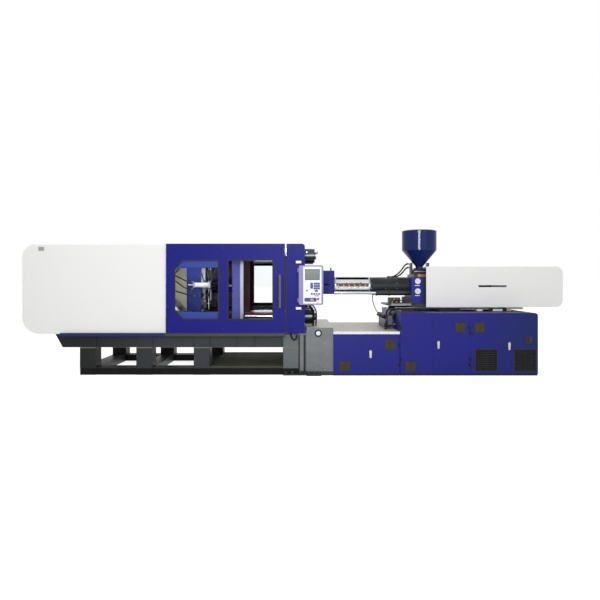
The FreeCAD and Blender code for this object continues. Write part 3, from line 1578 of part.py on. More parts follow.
def carriage_rails():
    """Two flat rails on blocks along the tall cabinet."""
    pieces = []
    blocks = ((0, 300), (700, 190), (1290, 90), (1500, 330))
    for side in (-1, 1):
        middle = d.rail_offset * side
        half = d.rail_width / 2
        parts = [box(f"rail_bar_{side + 1}", (d.rail_left, middle - half, d.rail_bottom),
                     (d.rail_right, middle + half, d.rail_top))]
        for i, (start, length) in enumerate(blocks):
            left = d.rail_left + start
            parts.append(box(f"rail_block_{side + 1}_{i}", (left, middle - half, d.tall_cabinet_height),
                             (left + length, middle + half, d.rail_bottom)))
        pieces.append(fuse(f"rail_{side + 1}", parts))
    return keep(group("carriage_rails", pieces))


def feed_housing():
    """The feed housing casting on its two shoes, the hopper's stand, the two pull cylinders and the shelf
    with the carriage's switch box."""
    left, right = d.housing_left, d.housing_right
    half = d.housing_half_width
    block = box("housing_block", (left, -half, d.housing_bottom), (right, half, d.housing_top))
    shoes = []
    for side in (-1, 1):
        middle = d.rail_offset * side
        shoes.append(box(f"housing_shoe_{side + 1}", (left, middle - d.rail_width, d.rail_top + d.slide_gap),
                         (right, middle + d.rail_width, d.rail_top + d.slide_gap + 50)))
    arm = box("housing_shoe_bridge", (left, -d.rail_offset, d.rail_top + d.slide_gap),
              (right, d.rail_offset, d.housing_bottom + d.shoe_bridge_height))
    stand_half = d.hopper_stand_half
    stand = box("hopper_stand", (d.hopper_centre - stand_half, -stand_half, d.housing_top),
                (d.hopper_centre + stand_half, stand_half, d.hopper_throat_height))
    shoulder = box("housing_shoulder", (right - 40, d.injection_cover_sheet - d.injection_cover_half_width,
                                        d.housing_bottom + 20),
                   (right, d.injection_cover_half_width - d.injection_cover_sheet, d.centre_height + 60))
    cheeks = []
    for side, x in ((-1, d.hopper_centre - stand_half - d.cheek_reach), (1, d.hopper_centre + stand_half - 6)):
        cheeks.append(box(f"hopper_cheek_{side + 1}", (x, -d.cheek_half_width, d.housing_top),
                          (x + d.cheek_reach + 6, d.cheek_half_width, d.cheek_top)))
    tools = [
        rod("screw_way", "x", (left - 1, 0, d.centre_height), d.screw_radius + d.running_gap, right - left + 2),
        rod("throat_way", "z", (d.hopper_centre, 0, d.centre_height), d.hopper_throat_radius - 12,
            d.hopper_throat_height - d.centre_height + 1),
        rod("pull_way_near", "x", (d.pull_cylinder_left - 1, -d.pull_rod_offset, d.pull_rod_height),
            d.pull_rod_radius + d.running_gap, right - d.pull_cylinder_left + 2),
        rod("pull_way_far", "x", (d.pull_cylinder_left - 1, d.pull_rod_offset, d.pull_rod_height),
            d.pull_rod_radius + d.running_gap, right - d.pull_cylinder_left + 2),
        box("gate_way", (d.hopper_centre - stand_half + 20, -stand_half - 1, d.hopper_throat_height - 40),
            (d.hopper_centre + stand_half - 20, stand_half - 20,
             d.hopper_throat_height - 40 + d.gate_thickness + d.slide_gap * 2)),
    ]
    pulls = [
        rod(f"pull_cylinder_{side + 1}", "x", (d.pull_cylinder_left, d.pull_rod_offset * side, d.pull_rod_height),
            d.pull_cylinder_radius, left + 5 - d.pull_cylinder_left)
        for side in (-1, 1)
    ]
    shelf_top = d.housing_bottom + d.shoe_bridge_height - 10
    shelf_half = d.front_shelf_half_width
    shelf = box("front_shelf", (d.front_shelf_left, -shelf_half, d.housing_bottom),
                (left + 5, shelf_half, shelf_top))
    switch_box = box("switch_box", (d.front_shelf_left + 40, 20 - shelf_half, shelf_top - 1),
                     (d.front_shelf_left + 40 + d.switch_box_length, 20 - shelf_half + d.switch_box_width,
                      shelf_top + d.switch_box_height))
    solid = fuse("housing_solid", [block, arm, stand, shoulder, shelf, switch_box] + shoes + cheeks + pulls)
    return keep(cut("feed_housing", solid, tools))


def hopper_gate():
    """The shut-off slide under the hopper: a plate with a feed hole and a pull tab."""
    stand_half = d.hopper_stand_half
    low = d.hopper_throat_height - 40 + d.slide_gap
    plate = box("gate_plate", (d.hopper_centre - stand_half + 20 + d.slide_gap, -stand_half - 40, low),
                (d.hopper_centre + stand_half - 20 - d.slide_gap, stand_half - 22, low + d.gate_thickness))
    hole = rod("gate_hole", "z", (d.hopper_centre, 0, low - 1), d.hopper_throat_radius - 12,
               d.gate_thickness + 2)
    return keep(cut("hopper_gate", plate, [hole]))


def feed_cover():
    """The folded cover round the feed housing, with two round gauges on its near side."""
    gauge = d.feed_cover_sheet
    half = d.feed_cover_half_width
    bottom = d.housing_bottom + d.shoe_bridge_height + d.slide_gap
    block = box("feed_cover_block", (d.feed_cover_left, -half, bottom),
                (d.feed_cover_right, half, d.feed_cover_top))
    space = box("feed_cover_space", (d.feed_cover_left + gauge, gauge - half, bottom - 1),
                (d.feed_cover_right + 1, half - gauge, d.feed_cover_top + 1))
    ways = [rod("feed_cover_barrel_way", "x", (d.feed_cover_left - 1, 0, d.centre_height),
                d.barrel_cover_radius + d.cover_way_gap, gauge + 2)]
    for side in (-1, 1):
        start = (d.feed_cover_left - 1, d.pull_rod_offset * side, d.pull_rod_height)
        ways.append(rod(f"feed_cover_pull_way_{side + 1}", "x", start,
                        d.pull_cylinder_radius + d.cover_way_gap, gauge + 2))
    shell = cut("feed_cover_shell", block, [space] + ways)
    pieces = [shell]
    for i, height in enumerate((d.centre_height + 78, d.centre_height - 83)):
        middle = (d.feed_cover_left + d.feed_cover_right) / 2
        pieces.append(rod(f"gauge_{i}", "y", (middle, -half - d.gauge_depth, height), d.gauge_radius,
                          d.gauge_depth))
    return keep(group("feed_cover", pieces))


def hopper():
    """The hopper: a thin cone and drum open at the top, a flanged throat, and the lid's pin on two lugs."""
    body = start_body("hopper_shell", (d.hopper_centre, 0, 0))
    gauge = d.hopper_sheet
    outer, throat = d.hopper_radius, d.hopper_throat_radius
    bottom = d.hopper_throat_height
    profile = [
        (throat - gauge, bottom), (throat + 40, bottom), (throat + 40, bottom + 12), (throat, bottom + 12),
        (throat, d.hopper_cone_bottom), (outer, d.hopper_cone_top), (outer, d.hopper_rim),
        (outer - gauge, d.hopper_rim), (outer - gauge, d.hopper_cone_top + 2),
        (throat - gauge, d.hopper_cone_bottom + 2),
    ]
    reach = outer + d.lid_hinge_reach
    first = d.hopper_centre - d.lid_hinge_half - d.slide_gap - d.lid_lug_width
    second = d.hopper_centre + d.lid_hinge_half + d.slide_gap
    pieces = [turn(body, "XZ", "V_Axis", [profile])]
    for i, left in enumerate((first, second)):
        right = left + d.lid_lug_width
        pieces.append(box(f"lid_lug_{i}", (left, outer - 12, d.hopper_rim - 20),
                          (right, reach + d.lid_hinge_radius, d.hopper_rim)))
        pieces.append(rod(f"lid_eye_{i}", "x", (left, reach, d.hopper_rim), d.lid_hinge_radius,
                          d.lid_lug_width))
    pieces.append(rod("lid_pin", "x", (first, reach, d.hopper_rim), d.lid_pin_radius,
                      second + d.lid_lug_width - first))
    return keep(fuse("hopper", pieces))


def hopper_lid():
    """The lid, with the sleeve of its hinge at the back."""
    body = start_body("lid_disc", (d.hopper_centre, 0, 0))
    low = d.hopper_rim + d.slide_gap
    edge = d.hopper_radius
    top = d.hopper_rim + d.lid_height
    profile = [(0, low), (edge, low), (edge, low + 5), (edge - 30, top), (0, top)]
    disc = turn(body, "XZ", "V_Axis", [profile])
    left = d.hopper_centre - d.lid_hinge_half
    reach = edge + d.lid_hinge_reach
    sleeve = rod("lid_sleeve", "x", (left, reach, d.hopper_rim), d.lid_hinge_radius, d.lid_hinge_half * 2)
    leaf = box("lid_leaf", (left, edge - 20, low), (left + d.lid_hinge_half * 2, reach, low + 5))
    bore = rod("lid_sleeve_bore", "x", (left - 1, reach, d.hopper_rim), d.lid_pin_radius + d.running_gap,
               d.lid_hinge_half * 2 + 2)
    return keep(cut("hopper_lid", fuse("lid_blank", [disc, sleeve, leaf]), [bore]))


guide_drop = d.injection_cylinder_radius * 2


def injection_cylinders():
    """Two injection cylinders on the feed housing, the guide rods and the rear bridge."""
    pieces = []
    start = d.housing_right
    for side in (-1, 1):
        y = d.injection_cylinder_offset * side
        blank = rod(f"injection_tube_{side + 1}", "x", (start, y, d.centre_height),
                    d.injection_cylinder_radius, d.injection_cylinder_length)
        bore = rod(f"injection_bore_{side + 1}", "x", (start + 60, y, d.centre_height),
                   d.injection_rod_radius + d.running_gap, d.injection_cylinder_length)
        pieces.append(cut(f"injection_cylinder_{side + 1}", blank, [bore]))
        pieces.append(rod(f"guide_rod_{side + 1}", "x", (start, y, d.centre_height - guide_drop),
                          d.guide_rod_radius, d.rear_bridge_left - start))
    body = start_body("rear_bridge")
    half = d.injection_cover_half_width - d.injection_cover_sheet
    foot = d.rail_top + d.slide_gap
    notch = d.screw_motor_radius + 6
    shoulder = d.centre_height - guide_drop + d.guide_rod_radius + 15
    floor = d.centre_height - d.screw_motor_radius - 20
    outline = [
        (-half, foot), (half, foot), (half, shoulder), (notch, shoulder), (notch, floor),
        (-notch, floor), (-notch, shoulder), (-half, shoulder),
    ]
    pieces.append(pad(body, "YZ", d.rear_bridge_left, d.rear_bridge_thickness, [outline]))
    return keep(group("injection_cylinders", pieces))


def pull_rods():
    """The two rods that pull the carriage towards the fixed platen."""
    rods = [
        rod(f"pull_rod_{side + 1}", "x", (fixed_back, d.pull_rod_offset * side, d.pull_rod_height),
            d.pull_rod_radius, d.housing_right + 110 - fixed_back)
        for side in (-1, 1)
    ]
    return keep(group("pull_rods", rods))


def injection_plate():
    """The injection plate on the guide rods, with both piston rods and the screw motor."""
    left = d.injection_plate_left
    right = left + d.injection_plate_thickness
    half = d.injection_cylinder_offset + d.injection_cylinder_radius
    plate = box("injection_block", (left, -half, d.centre_height - 230), (right, half, d.centre_height + 130))
    ways = [rod("screw_seat", "x", (left - 1, 0, d.centre_height), d.screw_radius + 20 + d.running_gap,
                d.injection_plate_thickness + d.screw_motor_length / 2)]
    rods = []
    for side in (-1, 1):
        y = d.injection_cylinder_offset * side
        z = d.centre_height - guide_drop
        ways.append(rod(f"guide_way_{side + 1}", "x", (left - 1, y, z), d.guide_rod_radius + d.running_gap,
                        d.injection_plate_thickness + 2))
        inside = d.injection_cylinder_length - 120
        reach = left - d.housing_right - d.injection_cylinder_length + inside
        rods.append(rod(f"injection_rod_{side + 1}", "x", (left - reach, y, d.centre_height),
                        d.injection_rod_radius, reach + 5))
    motor = rod("screw_motor", "x", (right, 0, d.centre_height), d.screw_motor_radius, d.screw_motor_length)
    solid = fuse("injection_plate_solid", [plate, motor] + rods)
    return keep(cut("injection_plate", solid, ways))


def screw():
    """The screw with its tip, and the shaft that the motor turns."""
    body = start_body("screw", (0, 0, d.centre_height))
    tip = nozzle_end + 60
    seat = d.injection_plate_left
    profile = [
        (tip, 0), (tip + 70, d.screw_radius), (seat, d.screw_radius), (seat, d.screw_radius + 20),
        (seat + d.injection_plate_thickness, d.screw_radius + 20),
        (seat + d.injection_plate_thickness, 0),
    ]
    return keep(turn(body, "XZ", "H_Axis", [profile]))


def injection_cover():
    """The long white cover over the injection drive, open below and towards the barrel."""
    half = d.injection_cover_half_width
    gauge = d.injection_cover_sheet
    left, right = d.injection_cover_left, d.injection_cover_right
    bottom, top = d.injection_cover_bottom, d.injection_cover_top
    body = start_body("injection_cover_blank")
    pad(body, "XZ", -half, half * 2, [rectangle(left, right, bottom, top)])
    for height in (bottom, top):
        rounded(body, d.injection_cover_radius, lambda e, height=height: runs_along(e, "y") and passes(
            e, {"x": right, "z": height}))
    space = box("injection_cover_space", (left - 1, gauge - half, bottom - 1),
                (right - d.injection_cover_radius, half - gauge, top - gauge))
    end_space = box("injection_cover_end_space", (right - d.injection_cover_radius - 1, gauge - half, bottom + 90),
                    (right - gauge * 4, half - gauge, top - 90))
    stand = d.hopper_stand_half + d.cheek_reach + 8
    notch = box("hopper_notch", (left - 1, -stand, top - gauge - 1),
                (d.hopper_centre + stand, stand, top + 1))
    slot = box("position_slot", (d.cover_slot_left, -half - 1, d.centre_height - d.cover_slot_height / 2),
               (d.cover_slot_right, half + 1, d.centre_height + d.cover_slot_height / 2))
    return keep(cut("injection_cover", body, [space, end_space, notch, slot]))


def hydraulic_manifold():
    """The valve block on the bed plate beside the tall cabinet, with its valve bodies."""
    left = d.manifold_left
    low = d.bed_plate_top
    block = box("manifold_block", (left, -420, low), (d.low_cabinet_right, 300, low + d.manifold_height))
    valves = [block]
    for i, y in enumerate((-330, -190, -50, 90, 230)):
        valves.append(box(f"valve_{i}", (left + 30, y, low + d.manifold_height),
                          (d.low_cabinet_right - 25, y + 70, low + d.manifold_height + 62)))
    width = d.heater_socket_width
    socket = box("heater_socket", (d.heater_socket_left, d.heater_socket_near, low),
                 (d.heater_socket_left + width, d.heater_socket_near + width, low + d.heater_socket_height))
    return keep(group("hydraulic_manifold", [fuse("valve_block", valves), socket]))


# ---------------------------------------------------------------------------
# Cables and hoses, with both ends held by the machine
# ---------------------------------------------------------------------------
def cord(name, route, radius):
    """A round cord along a route: straight runs joined by arcs as large as the runs allow."""
    points = [Vector(*(sized(length).number for length in point)) for point in route]
    runs = [end - start for start, end in zip(points, points[1:])]
    edges = []
    radii = []
    start = points[0]
    for corner, into, out in zip(points[1:], runs, runs[1:]):
        reach = 0.45 * min(into.Length, out.Length)
        half_turn = into.getAngle(out) / 2
        bend = reach / math.tan(half_turn)
        first = corner - into / into.Length * reach
        last = corner + out / out.Length * reach
        inward = (out / out.Length - into / into.Length).normalize()
        middle = corner + inward * (bend / math.cos(half_turn) - bend)
        edges.append(Part.LineSegment(start, first).toShape())
        edges.append(Part.Arc(first, middle, last).toShape())
        radii.append(bend)
        start = last
    edges.append(Part.LineSegment(start, points[-1]).toShape())
    path = Part.Wire(edges)
    section = Part.Wire([Part.makeCircle(sized(radius).number, points[0], runs[0])])
    tube = doc.addObject("Part::Feature", name)
    tube.Shape = path.makePipeShell([section], True, True)
    share = tube.Shape.Volume / (math.pi * sized(radius).number ** 2 * path.Length)
    print(f"{name}: length {path.Length:.0f}, smallest bend {min(radii):.0f}, volume share {share:.4f}")
    return tube


def hopper_cables():
    """Two cables from terminal boxes on the barrel cover up to the hopper's left cheek."""
    cover_top = d.centre_height + d.barrel_cover_radius
    radius = d.cable_radius
    end = d.hopper_centre - d.hopper_stand_half - d.cheek_reach
    pieces = []
    for i, (y, start, climb) in enumerate(((-16, 1500, 0.93), (20, 1575, 0.66))):
        low = cover_top + 9
        rise = (d.cheek_top - cover_top) * climb
        span = end - start
        route = [(start, y, low), (start + span * 0.17, y, low)]
        for share, height in ((0.38, 0.18), (0.56, 0.45), (0.70, 0.77)):
            route.append((start + span * share, y, low + rise * height))
        route += [(start + span * 0.83, y, low + rise * 0.94), (end, y, low + rise * 0.94)]
        pieces.append(cord(f"hopper_cable_{i}", route, radius))
        pieces.append(box(f"terminal_box_{i}", (start - 40, y - 14, cover_top - 3), (start, y + 14, low + 10)))
    return keep(group("hopper_cables", pieces))


def heater_cable():
    """The thin cable that hangs from under the barrel cover to its socket on the bed plate."""
    top = d.centre_height - d.barrel_cover_radius - 0.2
    socket = d.bed_plate_top + 42
    route = [
        (1216, 0, top), (1216, 0, 1128), (1232, 62, 1055), (1275, 155, 968), (1330, 262, 885),
        (1388, 372, 808), (1440, 480, 742), (1462, 550, socket), (1462, 605, socket),
    ]
    return keep(cord("heater_cable", route, d.thin_cable_radius))


def cooling_hoses():
    """Hoses from a distributor on the fixed platen down to the base block."""
    pieces = [
        box("hose_distributor", (fixed_back, d.distributor_edge - d.platen_half_width, d.distributor_bottom),
            (fixed_back + d.distributor_depth, d.distributor_edge + d.distributor_width - d.platen_half_width,
             d.distributor_bottom + d.distributor_height)),
    ]
    ground = d.block_height
    outlet = fixed_back + d.distributor_depth
    for i, (y, height, reach) in enumerate(((-545, 1055, 150), (-574, 1030, 110), (-545, 1018, 95))):
        drop = height - ground
        route = [
            (outlet, y, height), (outlet + reach * 0.36, y, height),
            (outlet + reach * 0.75, y, height - drop * 0.12), (outlet + reach * 0.96, y, height - drop * 0.33),
            (outlet + reach, y, height - drop * 0.58), (outlet + reach - 8, y, height - drop * 0.8),
            (outlet + reach - 8, y, ground),
        ]
        pieces.append(cord(f"cooling_hose_{i}", route, d.hose_radius))
    side = -d.base_half_width
    loop = [
        (-118, -d.platen_half_width, 705), (-118, -690, 705), (-120, -800, 705), (-124, -870, 696),
        (-126, -895, 670), (-125, -897, 645), (-122, -897, 600), (-104, -897, 550), (-74, -897, 526),
        (-44, -897, 542), (-34, -895, 572), (-34, -889, 590), (-34, side, 590),
    ]
    pieces.append(cord("drain_hose", loop, d.drain_hose_radius))
    return keep(group("cooling_hoses", pieces))


def build_all():
    keep(group("base_side_frames", [base_side_frame("side_frame_near", -1),
                                    base_side_frame("side_frame_far", 1)]))
    base_cross_tubes()
    clamp_slideways()
    drip_tray()
    injection_base_block()
    bed_cover_plate()
    low_cabinet()
    tall_cabinet()
    cabinet_doors()
    door_handles()
    main_switch()
    fixed_platen()
    tie_bars()
    pull_rods()
    moving_platen()
    rear_platen()
    for level, word in ((-1, "lower"), (1, "upper")):
        rear_toggle_link(level, word)
        front_toggle_link(level, word)
        crosshead_link(level, word)
    crosshead()
    clamp_cylinder()
    mould_height_gear()
    ejector()
    clamp_cover()
    doors()
    door_tracks()
    side_panels()
    control_box()
    control_buttons()
    nozzle_guard()
    barrel()
    barrel_cover("barrel_front_cover", d.barrel_cover_left, d.barrel_cover_joint)
    barrel_cover("barrel_rear_cover", d.barrel_cover_joint, d.barrel_cover_right)
    carriage_rails()
    feed_housing()
    hopper_gate()
    feed_cover()
    hopper()
    hopper_lid()
    injection_cylinders()
    injection_plate()
    screw()
    injection_cover()
    hydraulic_manifold()
    hopper_cables()
    heater_cable()
    cooling_hoses()


def check_and_export():
    """Stops on any object that failed, then writes one file for each piece."""
    doc.recompute()
    faults = [thing.Name for thing in doc.Objects if {"Invalid", "Error"} & set(thing.State)]
    for node in NODES:
        if node.Shape.isNull() or not node.Shape.isValid():
            faults.append(node.Label)
    if faults:
        raise RuntimeError("failed: " + ", ".join(faults))
    os.makedirs("parts", exist_ok=True)
    for node in NODES:
        node.Shape.exportStep(f"parts/{node.Label}.step")
        low = node.Shape.BoundBox
        print(f"{node.Label}: {len(node.Shape.Solids)} solids, "
              f"x {low.XMin:.0f} {low.XMax:.0f}, y {low.YMin:.0f} {low.YMax:.0f}, "
              f"z {low.ZMin:.0f} {low.ZMax:.0f}")
    print(f"{len(NODES)} nodes")


build_all()
check_and_export()
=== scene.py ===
import math

import bmesh
import bpy
import numpy as np
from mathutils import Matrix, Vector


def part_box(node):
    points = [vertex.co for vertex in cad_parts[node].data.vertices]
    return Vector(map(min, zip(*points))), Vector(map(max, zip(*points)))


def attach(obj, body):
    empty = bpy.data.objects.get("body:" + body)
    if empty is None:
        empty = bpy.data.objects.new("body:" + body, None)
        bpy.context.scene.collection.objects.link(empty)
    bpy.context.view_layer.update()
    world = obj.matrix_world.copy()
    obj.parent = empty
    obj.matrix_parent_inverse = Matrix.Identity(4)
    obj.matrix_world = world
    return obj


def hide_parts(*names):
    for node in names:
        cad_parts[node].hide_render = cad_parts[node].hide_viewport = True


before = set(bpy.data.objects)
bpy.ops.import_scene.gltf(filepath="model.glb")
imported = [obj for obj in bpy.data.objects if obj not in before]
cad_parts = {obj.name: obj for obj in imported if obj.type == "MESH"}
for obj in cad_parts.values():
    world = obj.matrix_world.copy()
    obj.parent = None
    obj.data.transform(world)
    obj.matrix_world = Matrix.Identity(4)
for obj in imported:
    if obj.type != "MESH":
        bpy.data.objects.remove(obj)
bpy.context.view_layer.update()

bl_info = {
    "name": "Injection Moulding Machine",
    "version": (1, 0, 0),
    "blender": (4, 5, 0),
    "location": "3D View > Sidebar > Moulding Machine",
    "description": "Dresses the packed moulding machine with its finishes, trim, pipes and stage",
    "category": "Object",
}

AXES = np.eye(3)
RIGHT, FRONT, UP = (1, 0, 0), (0, -1, 0), (0, 0, 1)
SHARP_ANGLE = 35.0
CORNER_POINTS = 6
BEND_POINTS = 7


def display(red, green, blue):
    """A screen colour of 0 to 255 each, as the linear colour that a shader takes."""
    part = np.array([red, green, blue]) / 255
    low, high = part / 12.92, ((part + 0.055) / 1.055) ** 2.4
    return tuple(np.where(part <= 0.04045, low, high).round(5).tolist())


# ---------------------------------------------------------------- values a user would change


def colour(name, description, red, green, blue):
    return bpy.props.FloatVectorProperty(
        name=name, description=description, subtype="COLOR", size=3, min=0, max=1,
        default=display(red, green, blue))


def length(name, description, metres):
    return bpy.props.FloatProperty(
        name=name, description=description, subtype="DISTANCE", unit="LENGTH", min=0, default=metres)


def share(name, description, amount):
    return bpy.props.FloatProperty(
        name=name, description=description, subtype="FACTOR", min=0, max=1, default=amount)


class MachinePaints(bpy.types.PropertyGroup):
    """Colours of the machine's paints, sheets and plastics"""

    guard_blue: colour("Guard blue", "Paint of the guards, panels and cabinets", 30, 31, 122)
    hopper_blue: colour("Hopper blue", "Gloss paint of the material hopper", 22, 38, 96)
    platen_blue: colour("Platen blue", "Paint of the moving platen's casting", 84, 84, 160)
    rear_platen_blue: colour("Rear platen blue", "Darker paint of the rear platen", 26, 36, 92)
    cover_white: colour("Cover white", "Paint of the clamp and injection covers", 240, 240, 238)
    base_dark: colour("Base dark", "Paint of the base at the clamp's far end", 36, 38, 38)
    base_grey: colour("Base grey", "Paint of the base beside the mould", 58, 63, 67)
    tray_olive: colour("Tray olive", "Oil-stained sheet of the tray and the base's flange", 74, 74, 54)
    bed_beige: colour("Bed beige", "Tread plate over the base block", 206, 205, 188)
    cream: colour("Cream", "Far inner panel and plain sheets", 212, 206, 178)
    mould_rust: colour("Mould face", "Rust-proofing on the platens' mould faces", 70, 8, 12)
    housing_lavender: colour("Control housing", "Housing of the operator's box", 126, 122, 168)
    key_blue: colour("Key blue", "Keys and screen border of the control face", 12, 28, 122)
    screen_grey: colour("Screen grey", "Unlit display of the control face", 122, 132, 118)
    button_red: colour("Button red", "Emergency stop and mains switch", 196, 16, 26)
    brass: colour("Brass", "Fittings and the hopper's flange", 152, 118, 66)


class MachineWear(bpy.types.PropertyGroup):
    """How used the machine looks"""

    edge_width: length("Edge wear width", "How far rubbed paint reaches from an edge", 0.004)
    edge_wear: share("Edge wear", "How much paint is rubbed off the edges", 0.25)
    dust: share("Dust", "Dust on faces that look up", 0.18)
    oil: share("Oil", "Oil film on the running gear", 0.35)


class MachineTrim(bpy.types.PropertyGroup):
    """Sizes of the trim that is added to the solids"""

    gasket_width: length("Gasket width", "Width of the rubber gasket round each pane", 0.016)
    screw_radius: length("Screw radius", "Head radius of the covers' screws", 0.009)
    screw_height: length("Screw height", "Head height of the covers' screws", 0.005)
    key_depth: length("Key depth", "How proud the keys of the control face stand", 0.003)


class MachineStage(bpy.types.PropertyGroup):
    """Camera, lamps and floor"""

    eye_distance: length("Eye distance", "Distance from the camera to the machine's middle plane", 9.45)
    eye_height: length("Eye height", "Height of the camera over the floor", 1.427)
    lens: bpy.props.FloatProperty(
        name="Lens", description="Focal length on a 36 mm sensor", subtype="DISTANCE_CAMERA", default=34.23)
    lamp_power: bpy.props.FloatProperty(
        name="Lamp power", description="Power of the key lamp", subtype="POWER", min=0, default=142)
    sky_level: share("Sky level", "Brightness of the surroundings that light the machine", 0.38)


# ---------------------------------------------------------------- shader groups


SOCKET_KINDS = {1: "NodeSocketFloat", 3: "NodeSocketVector", 4: "NodeSocketColor"}
MID_GREY = (0.5, 0.5, 0.5, 1)


def new_group(name, inputs, outputs):
    """An empty shader group: its tree, the sockets it is given, and a function that feeds its outputs.
    An input's kind follows from how many numbers its value has."""
    tree = bpy.data.node_groups.new(name, "ShaderNodeTree")
    for label, value in inputs.items():
        kind = SOCKET_KINDS[np.size(value)]
        tree.interface.new_socket(name=label, in_out="INPUT", socket_type=kind).default_value = value
    for label in outputs:
        kind = SOCKET_KINDS[4 if label == "Color" else 1]
        tree.interface.new_socket(name=label, in_out="OUTPUT", socket_type=kind)
    end = tree.nodes.new("NodeGroupOutput")

    def send(**values):
        for label, value in values.items():
            tree.links.new(value, end.inputs[label])

    return tree, tree.nodes.new("NodeGroupInput").outputs, send


def fill(tree, node, sockets):
    """Gives a node's sockets their values, by name or as _index: a value that is an output is linked."""
    for key, value in sockets.items():
        slot = node.inputs[int(key[1:])] if key[0] == "_" else node.inputs[key.replace("_", " ")]
        if isinstance(value, bpy.types.NodeSocket):
            tree.links.new(value, slot)
        else:
            slot.default_value = value
    return node


def add(tree, kind, settings=None, **sockets):
    """A node with its settings and the values of its sockets."""
    node = tree.nodes.new("ShaderNode" + kind)
    for key, value in (settings or {}).items():
        setattr(node, key, value)
    return fill(tree, node, sockets)


def calc(tree, operation, *values, clamp=False):
    """One Math node's result."""
    sockets = {f"_{index}": value for index, value in enumerate(values)}
    return add(tree, "Math", {"operation": operation, "use_clamp": clamp}, **sockets).outputs[0]


def total(tree, first, second, clamp=False):
    return calc(tree, "ADD", first, second, clamp=clamp)


def product(tree, first, second, clamp=False):
    return calc(tree, "MULTIPLY", first, second, clamp=clamp)


def swing(tree, value, amount):
    """How far a value of 0 to 1 is from its middle, times the amount."""
    return product(tree, calc(tree, "SUBTRACT", value, 0.5), amount)


def blend_colours(tree, factor, first, second):
    """One colour Mix node's result."""
    node = add(tree, "Mix", {"data_type": "RGBA"}, _0=factor, _6=first, _7=second)
    return node.outputs[2]


def brightened(tree, colour_in, value):
    return add(tree, "HueSaturation", Value=value, Color=colour_in).outputs[0]


def object_place(tree):
    return add(tree, "TexCoord").outputs["Object"]


def part_of(tree, vector, label):
    return add(tree, "SeparateXYZ", Vector=vector).outputs[label]


def stretched(tree, place, factors):
    return add(tree, "VectorMath", {"operation": "MULTIPLY"}, _0=place, _1=factors).outputs[0]


def noise(tree, vector, scale, detail=3.0, roughness=0.55):
    node = add(tree, "TexNoise", Vector=vector, Scale=scale, Detail=detail, Roughness=roughness)
    return node.outputs["Fac"]


def spread(tree, value, low, high, to_low=0.0, to_high=1.0):
    """The value, stretched from one range to another and held inside it."""
    node = add(tree, "MapRange", {"clamp": True}, _0=value, _1=low, _2=high, _3=to_low, _4=to_high)
    return node.outputs[0]


def paint_skin():
    """Shade that drifts over a sheet, uneven gloss and the orange peel of sprayed paint."""
    tree, given, send = new_group(
        "Paint Skin", {"Color": MID_GREY, "Drift": 0.08, "Drift Scale": 1.3, "Roughness": 0.4,
                       "Gloss Spread": 0.1, "Peel Scale": 260.0}, ("Color", "Roughness", "Height"))
    place = object_place(tree)
    drift = swing(tree, noise(tree, place, given["Drift Scale"], 4.0), given["Drift"])
    gloss = swing(tree, noise(tree, place, 9.0, 5.0), given["Gloss Spread"])
    send(Color=brightened(tree, given["Color"], total(tree, 1.0, product(tree, drift, 2.0))),
         Roughness=total(tree, given["Roughness"], gloss, clamp=True),
         Height=noise(tree, place, given["Peel Scale"], 2.0))
    return tree


def edge_wear():
    """Paint rubbed off the edges: the normal that a rounded edge would have parts from the true one."""
    tree, given, send = new_group(
        "Edge Wear", {"Color": MID_GREY, "Bare Color": (0.4, 0.4, 0.4, 1), "Roughness": 0.4,
                      "Width": 0.004, "Amount": 0.25}, ("Color", "Roughness"))
    rounded = add(tree, "Bevel", {"samples": 4}, Radius=given["Width"]).outputs[0]
    true = add(tree, "NewGeometry").outputs["Normal"]
    alike = add(tree, "VectorMath", {"operation": "DOT_PRODUCT"}, _0=rounded, _1=true).outputs["Value"]
    apart = calc(tree, "SUBTRACT", 1.0, alike)
    patch = noise(tree, object_place(tree), 34.0, 6.0, 0.7)
    mask = product(tree, spread(tree, apart, 0.01, 0.12), spread(tree, patch, 0.45, 0.62))
    mask = product(tree, mask, given["Amount"], clamp=True)
    send(Color=blend_colours(tree, mask, given["Color"], given["Bare Color"]),
         Roughness=total(tree, given["Roughness"], product(tree, mask, 0.12)))
    return tree


def settled_dust():
    """Dust on faces that look up, and a darker scuffed band near the floor."""
    tree, given, send = new_group(
        "Settled Dust", {"Color": MID_GREY, "Dust Color": (0.42, 0.4, 0.36, 1), "Roughness": 0.4,
                         "Amount": 0.2, "Scuff": 0.25}, ("Color", "Roughness"))
    place = object_place(tree)
    upward = part_of(tree, add(tree, "NewGeometry").outputs["Normal"], "Z")
    cloud = spread(tree, noise(tree, place, 5.0, 8.0, 0.65), 0.3, 0.75)
    dust = product(tree, product(tree, spread(tree, upward, 0.3, 0.95), cloud), given["Amount"], clamp=True)
    near_floor = spread(tree, part_of(tree, place, "Z"), 0.22, 0.0)
    marks = product(tree, near_floor, spread(tree, noise(tree, place, 18.0, 6.0, 0.7), 0.35, 0.7))
    marks = product(tree, marks, given["Scuff"], clamp=True)
    dusty = blend_colours(tree, dust, given["Color"], given["Dust Color"])
    rough = total(tree, given["Roughness"], product(tree, dust, 0.4))
    send(Color=blend_colours(tree, marks, dusty, (0.02, 0.02, 0.02, 1)),
         Roughness=total(tree, rough, product(tree, marks, 0.2), clamp=True))
    return tree


